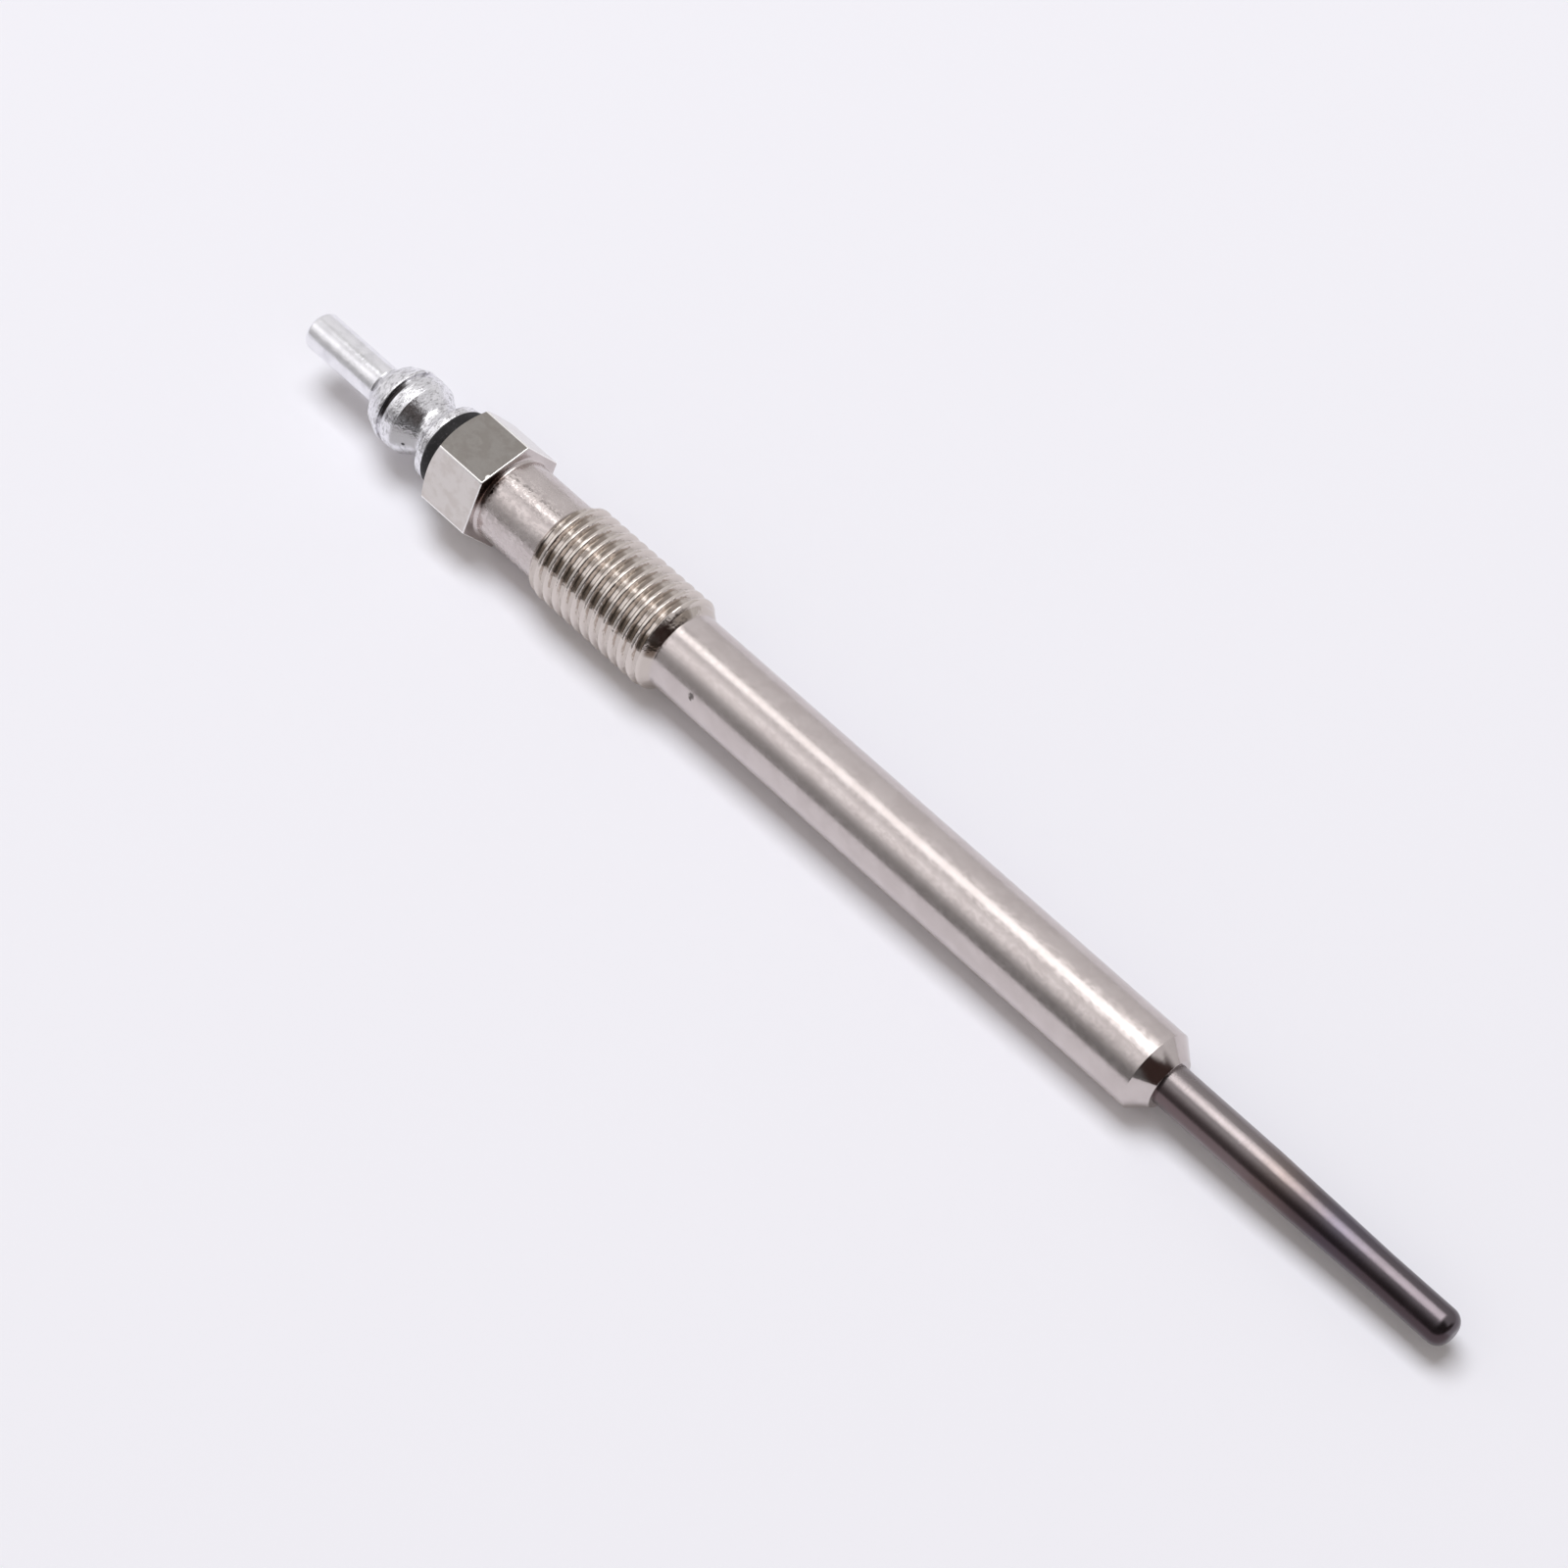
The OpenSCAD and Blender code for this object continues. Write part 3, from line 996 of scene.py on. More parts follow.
@dataclass(frozen=True)
class HeatTint(Finish):
    """Glow tube: grey where it leaves the body, straw, plum and blue midway, dark at the tip, with painted
    shade that darkens and reddens one side.
    """

    root: Colour = (0.255, 0.225, 0.226)
    straw: Colour = (0.205, 0.168, 0.160)
    plum: Colour = (0.136, 0.114, 0.120)
    blue: Colour = (0.125, 0.110, 0.132)
    tip: Colour = (0.125, 0.107, 0.117)
    stops_at: tuple[float, ...] = (0.0, 0.28, 0.40, 0.50, 0.60, 0.75)
    stops_ragged: float = 0.10
    lit_side_tint: Colour = (1.0, 1.0, 1.0)
    # Painted shade: tint of the darker, redder side of the tube.
    shaded_side_tint: Colour = (0.62, 0.53, 0.535)
    shade_side: Side = (243.0, 12.0, 40.0)
    roughness: float = 0.25
    roughness_swing: float = 0.15
    blotches_per_mm: Point = (0.45, 4.0)
    marks_per_mm: float = 6.0
    fine_shares: Point = (0.6, 0.5)
    fine_um: float = 5.0
    waves: Grain = ((1.2, 1.2, 0.8), 2.0, 0.5)
    waves_um: float = 6.0

    def material(self, effects: Effects, tube: "GlowTube") -> bpy.types.Material:
        """Builds the finish.

        Args:
            effects: The shared node groups.
            tube: The tube, for its stations.

        Returns:
            The material.
        """
        material, board, shader, drawing = self.start("heat_tint", effects)
        vector, station = drawing["Vector"], drawing["Station"]
        blotch = self.patches(board, effects, vector, self.blotches_per_mm)
        marks = self.rings(board, effects, vector, self.marks_per_mm)
        share = board.math("DIVIDE", board.math("SUBTRACT", station, tube.face_s), tube.tip_s - tube.face_s)
        share = board.math("ADD", share, board.swing(blotch["Patches"], self.stops_ragged))
        colours = (self.root, self.root, self.straw, self.plum, self.blue, self.tip)
        heat = board.colour_ramp(share, tuple(zip(self.stops_at, colours)))
        # Painted shade: one side of the tube is darker and redder.
        side_shade = board.mix(self.facing(board, vector, *self.shade_side), self.lit_side_tint, self.shaded_side_tint)
        board.put(shader.inputs["Base Color"], board.vector("MULTIPLY", heat, side_shade))
        shader.inputs["Metallic"].default_value = 1.0
        rough = board.math("ADD", self.roughness, board.swing(blotch["Patches"], self.roughness_swing))
        board.put(shader.inputs["Roughness"], rough)
        grain_share, marks_share = self.fine_shares
        fine = board.math("ADD", board.times(blotch["Grain"], grain_share), board.times(marks, marks_share))
        waves = board.bump(board.noise(vector, *self.waves), self.waves_um)
        board.put(shader.inputs["Normal"], board.bump(fine, self.fine_um, waves))
        return material


@dataclass(frozen=True)
class InnerFinish(Finish):
    """Finish of a piece inside the plug, with uneven tone."""

    name: str
    colour: Colour
    shade: Colour
    metallic: float
    roughness: float
    grain_um: float
    roughness_swing: float = 0.06
    roughness_range: Point = (0.3, 0.7)
    blotches_per_mm: Point = (0.8, 5.0)

    def material(self, effects: Effects) -> bpy.types.Material:
        """Builds the finish.

        Args:
            effects: The shared node groups.

        Returns:
            The material.
        """
        material, board, shader, drawing = self.start(self.name, effects)
        blotch = self.patches(board, effects, drawing["Vector"], self.blotches_per_mm)
        board.put(shader.inputs["Base Color"], board.mix(blotch["Patches"], self.colour, self.shade))
        shader.inputs["Metallic"].default_value = self.metallic
        limits = (self.roughness - self.roughness_swing, self.roughness + self.roughness_swing)
        rough = board.ramp(blotch["Grain"], *self.roughness_range, *limits)
        board.put(shader.inputs["Roughness"], rough)
        board.put(shader.inputs["Normal"], board.bump(blotch["Grain"], self.grain_um))
        return material


# Pieces of the plug

@dataclass
class Terminal:
    """Push-on aluminium terminal with a snap collar, a hollow neck and a flange."""

    pin_r: float = 2.0
    pin_l: float = 9.7
    pin_round: float = 0.6
    bead_r: float = 0.1
    collar_r: float = 3.95
    break_r: float = 3.3
    steep_l: float = 1.2
    cone_l: float = 2.8
    ridge_w: float = 0.3
    groove_w: float = 0.6
    groove_depth: float = 0.35
    shoulder_r: float = 3.85
    shoulder_l: float = 1.2
    back_deg: float = 33.0
    neck_r: float = 2.7
    neck_round: float = 1.4
    flange_r: float = 4.0
    washer_s: float = 19.54
    bore_r: float = 1.02
    bore_l: float = 8.0
    edge: float = 0.08
    bead_deg: float = 88.0
    neck_end_deg: float = 95.0
    break_round: float = 0.5
    ridge_round: float = 0.2
    groove_round: float = 0.06
    slope_round: float = 0.3
    shoulder_round: float = 0.15
    flange_rounds: Point = (0.1, 0.12)
    arc_steps: int = 10
    neck_steps: int = 22

    def groove_stations(self) -> Point:
        """Stations of both sides of the groove between the collar's ridges."""
        start = self.pin_l + 2 * self.bead_r + self.cone_l + self.ridge_w
        return start, start + self.groove_w

    def outline(self) -> list[Point]:
        """The closed outline, from the middle of the pin's end round to its blind bore.

        Returns:
            Radius and station of each point.
        """
        cone_s = self.pin_l + 2 * self.bead_r
        ridge_s = cone_s + self.cone_l
        groove_s = ridge_s + self.ridge_w
        ridge2_s = groove_s + self.groove_w
        slope_s = ridge2_s + self.ridge_w
        shoulder = (self.shoulder_r, slope_s + self.shoulder_l)
        groove_r = self.collar_r - self.groove_depth
        back = math.radians(self.back_deg)
        touch_r = self.neck_r + self.neck_round * (1.0 - math.cos(back))
        touch_s = shoulder[1] + (self.shoulder_r - touch_r) / math.tan(back)
        hollow = (self.neck_r + self.neck_round, touch_s + self.neck_round * math.sin(back))
        pin_end = arc((self.pin_r - self.pin_round, self.pin_round), self.pin_round, -90, 0, self.arc_steps)
        bead_middle = (self.pin_r, self.pin_l + self.bead_r)
        bead = arc(bead_middle, self.bead_r, -self.bead_deg, self.bead_deg, self.arc_steps)
        collar = ease_corners(
            [(self.pin_r, cone_s), (self.break_r, cone_s + self.steep_l), (self.collar_r, ridge_s),
             (self.collar_r, groove_s), (groove_r, groove_s), (groove_r, ridge2_s), (self.collar_r, ridge2_s),
             (self.collar_r, slope_s), shoulder, (touch_r, touch_s)],
            {1: self.break_round, 2: self.ridge_round, 3: self.edge, 4: self.groove_round,
             5: self.groove_round, 6: self.edge, 7: self.slope_round, 8: self.shoulder_round},
        )[1:-1]
        neck = arc(hollow, self.neck_round, 180.0 + self.back_deg, self.neck_end_deg, self.neck_steps)
        flange = ease_corners(
            [neck[-1], (self.flange_r, hollow[1] + self.neck_round), (self.flange_r, self.washer_s),
             (self.bore_r, self.washer_s)],
            dict(enumerate(self.flange_rounds, 1)),
        )[1:]
        bore = [(self.bore_r, self.washer_s - self.bore_l), (0.0, self.washer_s - self.bore_l)]
        return [(0.0, 0.0), *pin_end, *bead, *collar, *neck, *flange, *bore]

    def build(self, axis: PlugAxis) -> bpy.types.Object:
        """Turns the terminal and lays it down."""
        return lay_down(turn_outline("terminal", self.outline()), axis)


@dataclass
class Washer:
    """Black insulating washer with the sleeve that centres the rod."""

    outer_r: float = 4.1
    bore_r: float = 1.02
    sleeve_r: float = 2.98
    start_s: float = 19.54
    thickness: float = 1.6
    sleeve_l: float = 2.2
    edge: float = 0.18
    sleeve_edge: float = 0.1

    def build(self, axis: PlugAxis) -> bpy.types.Object:
        """Turns the washer and lays it down.

        Args:
            axis: Where the plug lies.

        Returns:
            The finished piece.
        """
        face_s = self.start_s + self.thickness
        sleeve_s = face_s + self.sleeve_l
        corners = [
            (self.bore_r, self.start_s), (self.outer_r, self.start_s), (self.outer_r, face_s),
            (self.sleeve_r, face_s), (self.sleeve_r, sleeve_s), (self.bore_r, sleeve_s),
        ]
        outline = ease_corners(corners, {1: self.edge, 2: self.edge, 4: self.sleeve_edge})
        return lay_down(turn_outline("washer_disc", closed(outline)), axis)


@dataclass
class Body:
    """Nickel-plated steel body: hexagon, shank, thread, barrel and cone seat on a stepped bore."""

    hex_s: float = 21.14
    hex_h: float = 6.5
    hex_af: float = 10.0
    chamfer_r: float = 4.7
    chamfer_deg: float = 30.0
    blank_r: float = 5.95
    hex_edge: float = 0.14
    shank_r: float = 4.25
    shank_l: float = 7.6
    shank_fillet: float = 0.4
    thread_r: float = 5.0
    thread_l: float = 16.0
    pitch: float = 1.25
    crest_half: float = 0.15
    crest_round: float = 0.12
    root_half: float = 0.16
    root_round: float = 0.10
    barrel_r: float = 4.0
    barrel_l: float = 58.8
    seat_angle: float = 82.0
    face_r: float = 2.5
    seat_edge: float = 0.06
    counterbore_r: float = 3.0
    counterbore_l: float = 4.2
    bore_r: float = 2.5
    tube_bore_r: float = 2.02
    tube_in: float = 20.0
    nick_after_thread: float = 5.1
    nick_deg: float = 29.0
    highlight_blob_off: float = 2.0
    highlight_blob_in: float = 0.08
    head_in: float = 0.2
    flank_point: float = 0.35
    valley_deg: tuple[float, float, float] = (240.0, 180.0, 120.0)
    valley_steps: int = 3
    crest_steps: int = 4
    fillet_steps: int = 8
    edge_steps: int = 4
    normal_weight: int = 50

    @property
    def shank_s(self) -> float:
        """Station where the shank starts."""
        return self.hex_s + self.hex_h

    @property
    def corner_r(self) -> float:
        """Radius of the hexagon's corners."""
        return self.hex_af / 2 / math.cos(math.pi / HEX_SIDES)

    @property
    def thread_s(self) -> float:
        """Station where the thread starts."""
        return self.shank_s + self.shank_l

    @property
    def barrel_s(self) -> float:
        """Station where the barrel starts."""
        return self.thread_s + self.thread_l

    @property
    def seat_s(self) -> float:
        """Station of the rim between barrel and cone seat."""
        return self.barrel_s + self.barrel_l

    @property
    def face_s(self) -> float:
        """Station of the end face inside the seat."""
        return self.seat_s + (self.barrel_r - self.face_r) / math.tan(math.radians(self.seat_angle / 2))

    @property
    def apex_r(self) -> float:
        """Radius where the flanks of one valley would meet."""
        flank_l = self.pitch / 2 - self.crest_half - self.root_half
        return self.thread_r - flank_l / math.tan(math.radians(FLANK_DEG))

    @property
    def root_r(self) -> float:
        """Radius at the bottom of the thread."""
        return self.apex_r + self.root_round

    def nick_place(self) -> Place:
        """Place of the nick on the barrel, in the drawing.

        Returns:
            X, Y and station in mm.
        """
        turn = math.radians(DOWN_DEG - self.nick_deg)
        station = self.barrel_s + self.nick_after_thread
        return self.barrel_r * math.cos(turn), self.barrel_r * math.sin(turn), station

    def highlight_blob_place(self) -> Place:
        """Place of the painted highlight blob on the hexagon's front edge, in the drawing."""
        return -self.hex_af / 2, -self.highlight_blob_off, self.shank_s - self.highlight_blob_in

    def outline(self) -> list[Point]:
        """The outline without the thread: along barrel, seat and bore, round the hexagon to the shank.

        Returns:
            Radius and station of each point.
        """
        chamfer_s = self.hex_s + (self.blank_r - self.chamfer_r) * math.tan(math.radians(self.chamfer_deg))
        rim, inner = (self.barrel_r, self.seat_s), (self.face_r, self.face_s)
        tube_s = self.face_s - self.tube_in
        counterbore_s = self.hex_s + self.counterbore_l
        seat = eased((self.barrel_r, self.barrel_s), rim, inner, self.seat_edge)
        face = eased(rim, inner, (self.tube_bore_r, self.face_s), self.seat_edge)
        hollow = (self.shank_r + self.shank_fillet, self.shank_s + self.shank_fillet)
        corner = arc(hollow, self.shank_fillet, -90, -180, self.fillet_steps)
        return [
            (self.barrel_r, self.barrel_s), *seat, *face, (self.tube_bore_r, self.face_s),
            (self.tube_bore_r, tube_s), (self.bore_r, tube_s), (self.bore_r, counterbore_s),
            (self.counterbore_r, counterbore_s), (self.counterbore_r, self.hex_s),
            (self.chamfer_r, self.hex_s), (self.blank_r, chamfer_s), (self.blank_r, self.shank_s), *corner,
            (self.shank_r, self.thread_s),
        ]

    def thread_outline(self) -> list[Point]:
        """Turns of the thread's outline, past both its ends, with rounded crests and roots.

        Returns:
            Radius and station of each point.
        """
        half = self.pitch / 2
        flank = math.tan(math.radians(FLANK_DEG))
        hollow_r = self.apex_r + 2 * self.root_round
        start, bottom, end = self.valley_deg
        valley = arc((hollow_r, -self.root_half), self.root_round, start, bottom, self.valley_steps)
        valley += arc((hollow_r, self.root_half), self.root_round, bottom, end, self.valley_steps)
        crest = (self.thread_r, half - self.crest_half)
        low, high = (self.apex_r, self.root_half), (self.thread_r, half)
        rise = eased(low, crest, high, self.crest_round, self.crest_steps)
        middle = (self.apex_r + self.flank_point, self.root_half + self.flank_point * flank)
        one_turn = [(r, -s) for r, s in reversed(rise)] + [(middle[0], -middle[1])]
        one_turn += [*valley, middle, *rise]
        turns = math.ceil(self.thread_l / self.pitch) + 2
        return [(r, s + self.thread_s + (k - 1) * self.pitch) for k in range(turns) for r, s in one_turn]

    def blank(self, station: float) -> float:
        """Radius of the turned blank that the thread is cut into, at a station of the thread.

        Args:
            station: The station in mm.

        Returns:
            The radius in mm.
        """
        rise = self.shank_r + station - self.thread_s
        fall = self.barrel_r + self.barrel_s - station
        return min(rise, self.thread_r, fall)

    def build_thread(self) -> bpy.types.Object:
        """Winds the thread as a right-hand helix and trims it to its blank.

        Returns:
            The thread as an object of its own.
        """
        piece = draw_outline("thread", self.thread_outline())
        bpy.ops.object.mode_set(mode="OBJECT")
        apply_modifier(piece, "SCREW", axis="Z", angle=math.tau, screw_offset=self.pitch, steps=SEGMENTS,
                       render_steps=SEGMENTS, use_merge_vertices=False)
        for vertex in piece.data.vertices:
            x, y, station = vertex.co
            kept = min(max(station, self.thread_s), self.barrel_s)
            radius = math.hypot(x, y)
            trimmed = self.blank(kept) if kept != station else min(radius, self.blank(kept))
            vertex.co = (x * trimmed / radius, y * trimmed / radius, kept)
        return piece

    def cut_flats(self, piece: bpy.types.Object) -> None:
        """Cuts the six flats of the hexagon and rounds their long and front edges.

        Args:
            piece: The turned body.
        """
        make_active(piece)
        bpy.ops.object.mode_set(mode="EDIT")
        apothem = self.hex_af / 2
        for k in range(HEX_SIDES):
            turn = math.radians(360.0 / HEX_SIDES * k)
            outward = Vector((math.cos(turn), math.sin(turn), 0.0))
            mesh = bmesh.from_edit_mesh(piece.data)
            mesh.faces.ensure_lookup_table()
            mesh.faces.index_update()
            head = [f.index for f in mesh.faces if self._is_head(f.calc_center_median())]
            select_faces(piece, head)
            bpy.ops.mesh.bisect(plane_co=outward * apothem, plane_no=outward, use_fill=True, clear_outer=True,
                                threshold=CUT_MM)
        self._round_edges(piece, apothem)
        bpy.ops.object.mode_set(mode="OBJECT")

    def _is_head(self, place: Vector) -> bool:
        """Tells whether a place on the mesh belongs to the outside of the hexagon."""
        radius = math.hypot(place.x, place.y)
        return place.z < self.shank_s + NEAR_MM and radius > self.chamfer_r - self.head_in

    def _round_edges(self, piece: bpy.types.Object, apothem: float) -> None:
        """Rounds the edges between flats and the edges at the front of the hexagon.

        Args:
            piece: The body, in edit mode.
            apothem: Distance of the flats from the axis.
        """
        bpy.ops.mesh.select_mode(type="EDGE")
        bpy.ops.mesh.select_all(action="DESELECT")
        mesh = bmesh.from_edit_mesh(piece.data)
        for edge in mesh.edges:
            places = [v.co for v in edge.verts]
            radii = [math.hypot(p.x, p.y) for p in places]
            at_corner = all(r > self.corner_r - NEAR_MM for r in radii)
            at_front = all(abs(p.z - self.shank_s) < TOUCH_MM for p in places)
            at_front = at_front and all(r > apothem - TOUCH_MM for r in radii)
            edge.select_set(self._is_head((places[0] + places[1]) / 2) and (at_corner or at_front))
        bmesh.update_edit_mesh(piece.data)
        bpy.ops.mesh.bevel(offset=self.hex_edge, offset_type="OFFSET", segments=self.edge_steps, profile=0.5,
                           affect="EDGES", clamp_overlap=False)

    def build(self, axis: PlugAxis) -> bpy.types.Object:
        """Turns the body, cuts the flats, joins the thread and lays the body down.

        Args:
            axis: Where the plug lies.

        Returns:
            The finished piece.
        """
        piece = turn_outline("threaded_body", self.outline())
        self.cut_flats(piece)
        join_meshes(piece, self.build_thread())
        lay_down(piece, axis)
        apply_modifier(piece, "WEIGHTED_NORMAL", mode="FACE_AREA", weight=self.normal_weight, keep_sharp=True)
        return piece


@dataclass
class GlowTube:
    """Closed glow tube with a taper and a round tip."""

    tube_r: float = 2.0
    tip_r: float = 1.75
    wall: float = 0.5
    face_s: float = 111.7656
    tube_in: float = 20.0
    taper_start: float = 11.0
    taper_l: float = 12.5
    out_l: float = 31.5
    tip_wall: float = 1.0
    tip_round: float = 1.3
    tip_steps: int = 12

    @property
    def tip_s(self) -> float:
        """Station of the tip."""
        return self.face_s + self.out_l

    def build(self, axis: PlugAxis) -> bpy.types.Object:
        """Turns the tube and lays it down.

        Args:
            axis: Where the plug lies.

        Returns:
            The finished piece.
        """
        start_s, taper_s = self.face_s - self.tube_in, self.face_s + self.taper_start
        taper_end_s = taper_s + self.taper_l
        hollow_s = self.tip_s - self.tip_wall
        inner_r, inner_tip_r = self.tube_r - self.wall, self.tip_r - self.wall
        middle = (self.tip_r - self.tip_round, self.tip_s - self.tip_round)
        tip = arc(middle, self.tip_round, 0, 90, self.tip_steps)
        outside = [(self.tube_r, start_s), (self.tube_r, taper_s), (self.tip_r, taper_end_s), *tip,
                   (0.0, self.tip_s)]
        inside = [(0.0, hollow_s), (inner_tip_r, hollow_s), (inner_tip_r, taper_end_s), (inner_r, taper_s),
                  (inner_r, start_s), (self.tube_r, start_s)]
        piece = turn_outline("glow_tube", outside)
        join_meshes(piece, turn_outline("glow_tube_bore", inside))
        return lay_down(piece, axis)


INNER_FINISHES: dict[str, InnerFinish] = {
    "rod_seal_ring": InnerFinish("brown_elastomer", (0.16, 0.06, 0.03), (0.11, 0.04, 0.022), 0.0, 0.5, 6.0),
    "centre_rod": InnerFinish("drawn_steel", (0.42, 0.41, 0.40), (0.34, 0.33, 0.325), 1.0, 0.32, 3.0),
    "sheath_seal": InnerFinish("dark_elastomer", (0.05, 0.055, 0.035), (0.035, 0.04, 0.025), 0.0, 0.55, 6.0),
    "insulating_powder": InnerFinish("pressed_powder", (0.80, 0.78, 0.72), (0.68, 0.66, 0.60), 0.0, 0.85,
                                     18.0),
    "control_coil": InnerFinish("control_wire", (0.46, 0.45, 0.44), (0.36, 0.35, 0.35), 1.0, 0.35, 2.0),
    "heating_coil": InnerFinish("heating_wire", (0.30, 0.28, 0.27), (0.22, 0.20, 0.20), 1.0, 0.4, 2.0),
}


def dress_inner_nodes(effects: Effects) -> None:
    """Gives each CAD node inside the plug its finish.

    Args:
        effects: The shared node groups.
    """
    for node, finish in INNER_FINISHES.items():
        frame["nodes"][node].material_slots[0].material = finish.material(effects)
        log.info("%s: finish %s", node, finish.name)


# Studio

@dataclass(frozen=True)
class Softbox:
    """One soft lamp above the plug, which the metal mirrors as its bright line."""

    name: str
    place: Place
    size: Point
    radiance: float
    mirrored: bool
    colour: Colour = (1.0, 1.0, 1.0)

    def build(self) -> None:
        """Hangs the lamp, facing down, so that it either shows in the metal or lights the floor."""
        width, depth = self.size
        lamp = bpy.data.lights.new(self.name, "AREA")
        lamp.shape = "RECTANGLE"
        lamp.size, lamp.size_y = width, depth
        lamp.energy = self.radiance * math.pi * width * depth
        lamp.color = self.colour
        rig = bpy.data.objects.new(self.name, lamp)
        bpy.context.scene.collection.objects.link(rig)
        rig.location = self.place
        rig.visible_camera = False
        rig.visible_diffuse, rig.visible_glossy = not self.mirrored, self.mirrored


@dataclass
class Studio:
    """Pale floor, soft light from above and behind, and darker sides at the camera and past the tip."""

    floor_size: float = 12.0
    floor_corners: int = 96
    floor_colour: Colour = (0.95, 0.935, 0.985)
    floor_roughness: float = 0.9
    floor_specular: float = 0.2
    lamps: tuple[Softbox, ...] = (
        Softbox("key_softbox", (-0.50, 0.22, 1.90), (1.42, 0.97), 6.2, False, (0.955, 0.985, 1.03)),
        Softbox("rear_line", (-0.4525, 0.10, 0.80), (0.085, 0.26), 1.7, True),
        Softbox("long_line", (-0.155, 0.1525, 0.80), (0.51, 0.295), 0.85, True),
        Softbox("tube_line", (-0.0625, 0.235, 0.85), (0.225, 0.77), 3.7, True),
    )
    round_axis: tuple[Point, ...] = (
        (0.0, 0.26), (0.02, 0.23), (0.06, 0.23), (0.13, 0.27), (0.20, 0.54), (0.25, 0.92), (0.305, 1.24),
        (0.355, 1.30), (0.40, 1.0), (0.44, 0.80), (0.50, 0.78), (0.80, 0.78), (1.0, 0.70),
    )
    round_front: tuple[Point, ...] = (
        (0.0, 0.24), (0.03, 0.16), (0.08, 0.12), (0.20, 0.14), (0.28, 0.22), (0.34, 0.45), (0.40, 0.72),
        (0.44, 0.76), (0.50, 0.74), (0.80, 0.72), (1.0, 0.66),
    )
    sky_tint: Colour = (1.0, 0.985, 1.0)
    front_edge: Point = (-0.31, -0.22)
    rear_lift_along: Point = (-0.55, -0.32)
    rear_lift: Point = (0.35, 0.0)
    rear_lift_turn: Point = (0.30, 0.42)
    fill: tuple[Point, ...] = ((0.0, 0.50), (0.42, 0.50), (0.60, 0.22), (1.0, 0.22))
    fill_colour: Colour = (1.0, 0.95, 0.89)
    camera_colour: Colour = (0.06, 0.05, 0.048)
    camera_edge: Point = (0.08, 0.20)
    camera_turn: Point = (0.20, 0.53)
    camera_soft: float = 0.05
    past_tip_colour: Colour = (0.048, 0.029, 0.026)
    past_tip_edge: Point = (0.84, 0.89)
    far_side_edge: Point = (0.72, 0.88)
    far_side_start: Point = (-0.05, 0.05)
    far_side_rise: Point = (0.38, 0.45)
    flag_way: Place = (-0.51, 0.29, 0.81)
    flag_colour: Colour = (0.41, 0.405, 0.40)
    flag_edge_deg: Point = (4.5, 8.0)

    def build(self) -> None:
        """Lays the floor, hangs the lamps and sets the surroundings."""
        self._floor()
        for lamp in self.lamps:
            lamp.build()
        self._surroundings()

    def _floor(self) -> None:
        """A wide matt floor that the plug lies on."""
        deselect_objects()
        bpy.ops.mesh.primitive_circle_add(vertices=self.floor_corners, radius=self.floor_size,
                                          fill_type="NGON")
        floor = bpy.context.object
        floor.name = "studio_floor"
        material = bpy.data.materials.new("studio_floor")
        material.use_nodes = True
        shader = material.node_tree.nodes["Principled BSDF"]
        shader.inputs["Base Color"].default_value = (*self.floor_colour, 1.0)
        shader.inputs["Roughness"].default_value = self.floor_roughness
        shader.inputs["Specular IOR Level"].default_value = self.floor_specular
        floor.data.materials.append(material)

    def _surroundings(self) -> None:
        """World whose brightness changes with the angle round the plug's axis."""
        world = bpy.data.worlds.new("studio")
        bpy.context.scene.world = world
        world.use_nodes = True
        board = Board(world.node_tree)
        board.tree.nodes.clear()
        way = board.add("TexCoord").outputs["Generated"]
        x, y, z = board.add("SeparateXYZ", {0: way}).outputs
        turn = board.math("DIVIDE", board.math("ARCTAN2", z, board.times(y, -1.0)), math.pi)
        rear = self._round(board, turn, self.round_axis, self.sky_tint)
        front = self._round(board, turn, self.round_front, self.sky_tint)
        (start, end), (most, least) = self.rear_lift_along, self.rear_lift
        limits = {"Value": x, "From Min": start, "From Max": end, "To Min": most, "To Max": least}
        low = board.ramp(turn, *self.rear_lift_turn, 1.0, 0.0)
        lift = board.times(low, board.add("MapRange", limits).outputs["Result"])
        rear = board.mix(lift, rear, self.sky_tint)
        colour = board.mix(board.ramp(x, *self.front_edge), rear, front)
        near_flag = board.vector("DOT_PRODUCT", way, Vector(self.flag_way).normalized())
        inner, outer = (math.cos(math.radians(d)) for d in self.flag_edge_deg)
        colour = board.mix(board.ramp(near_flag, outer, inner), colour, self.flag_colour)
        at_camera = board.between(turn, *self.camera_turn, self.camera_soft)
        at_camera = board.times(board.ramp(x, *self.camera_edge), at_camera)
        colour = board.mix(at_camera, colour, self.camera_colour)
        colour = board.mix(board.ramp(x, *self.past_tip_edge), colour, self.past_tip_colour)
        far_side = board.times(board.ramp(x, *self.far_side_edge), board.ramp(y, *self.far_side_start))
        far_side = board.times(far_side, board.ramp(z, *self.far_side_rise, 1.0, 0.0))
        colour = board.mix(far_side, colour, self.past_tip_colour)
        path = board.add("LightPath").outputs
        mirrored = board.most(path["Is Glossy Ray"], path["Is Transmission Ray"])
        seen = board.most(path["Is Camera Ray"], mirrored)
        colour = board.mix(seen, self._round(board, turn, self.fill, self.fill_colour), colour)
        background = board.add("Background", {"Color": colour, "Strength": 1.0})
        out = board.add("OutputWorld")
        board.put(out.inputs["Surface"], background.outputs[0])

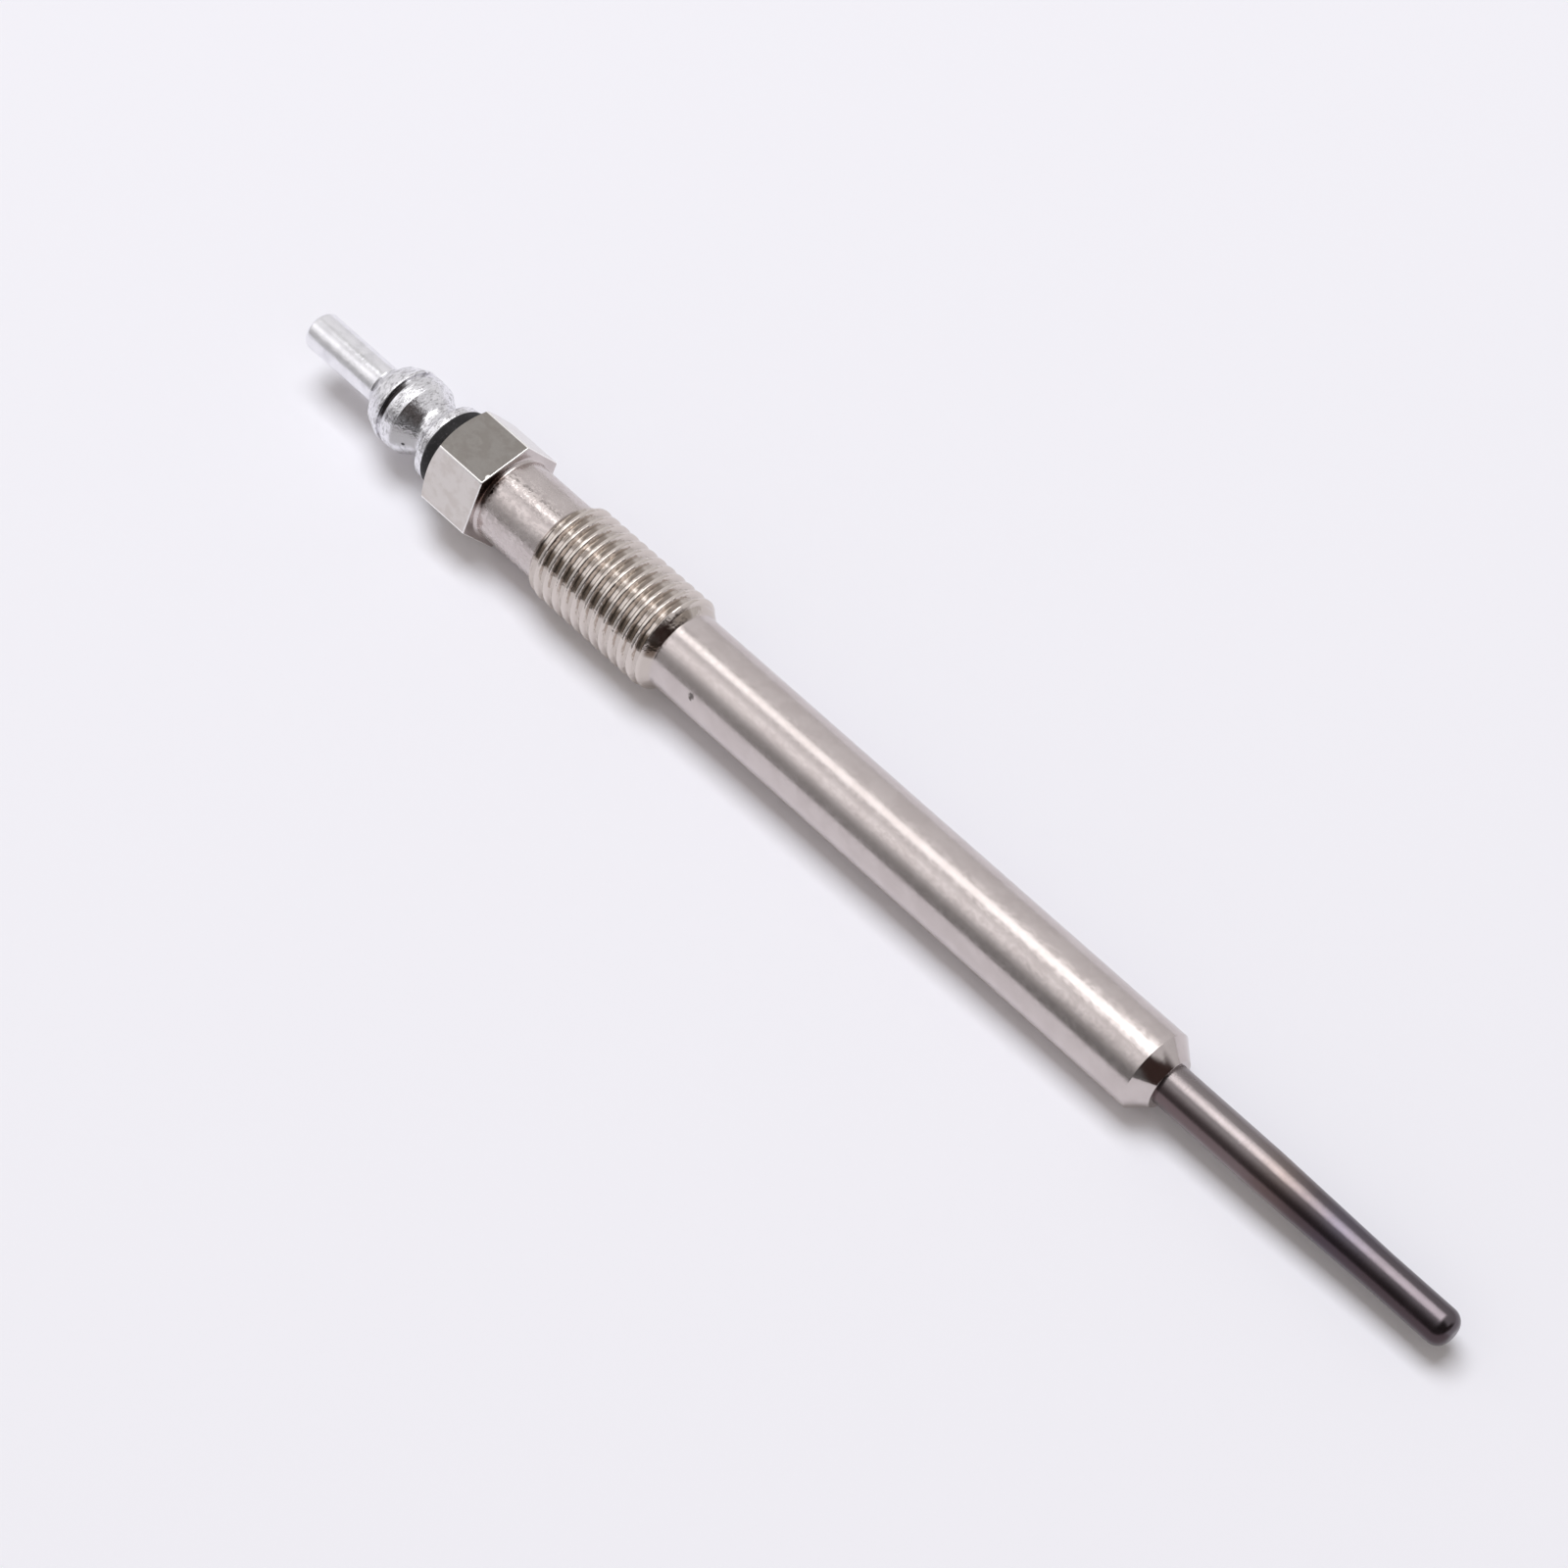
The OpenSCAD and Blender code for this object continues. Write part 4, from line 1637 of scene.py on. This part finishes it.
    def _round(self, board: Board, turn: Any, stops: Sequence[Point], tint: Colour) -> Any:
        """Brightness by the angle round the plug's axis.

        Args:
            board: The board of the world.
            turn: The angle, from 0 at the camera's horizon to 1 at the far one.
            stops: Angle and brightness in order.
            tint: Colour of the light.

        Returns:
            The colour.
        """
        colours = [(place, tuple(value * part for part in tint)) for place, value in stops]
        return board.colour_ramp(turn, colours, "EASE")


@dataclass
class Viewpoint:
    """Camera at the photograph's angle, with its distance and lens."""

    azimuth: float = 47.047
    elevation: float = 55.110
    target: Place = (-0.0051946, -0.0017490, 0.0018968)
    distance: float = 0.35168
    lens: float = 91.35
    sensor: float = 36.0
    clip: Point = (0.01, 100.0)

    def build(self) -> None:
        """Places the camera and makes it the scene's."""
        turn, rise = math.radians(self.azimuth), math.radians(self.elevation)
        back = Vector((math.sin(turn) * math.cos(rise), -math.cos(turn) * math.cos(rise), math.sin(rise)))
        camera = bpy.data.cameras.new("camera")
        camera.lens, camera.sensor_width = self.lens, self.sensor
        camera.clip_start, camera.clip_end = self.clip
        rig = bpy.data.objects.new("camera", camera)
        bpy.context.scene.collection.objects.link(rig)
        rig.location = Vector(self.target) + back * self.distance
        rig.rotation_euler = (-back).to_track_quat("-Z", "Y").to_euler()
        bpy.context.scene.camera = rig


def main() -> None:
    """Builds the pieces, their finishes, the studio and the camera."""
    logging.basicConfig(level=logging.INFO, format="%(name)s: %(message)s")
    terminal, washer, body, tube = Terminal(), Washer(), Body(), GlowTube()
    axis = PlugAxis.from_record(frame["record"], terminal.pin_round, REST_ROLL_DEG)
    effects = Effects(axis)
    aluminium = TurnedAluminium().material(effects, terminal)
    hand_over(terminal.build(axis), aluminium, "terminal_pin")
    hand_over(washer.build(axis), BlackMoulding().material(effects), "insulating_washer")
    hand_over(body.build(axis), NickelPlate().material(effects, body), "body_shell")
    hand_over(tube.build(axis), HeatTint().material(effects, tube), "heater_sheath")
    dress_inner_nodes(effects)
    Studio().build()
    Viewpoint().build()
    bpy.context.scene.view_settings.view_transform = "Standard"


if __name__ == "__main__":
    main()
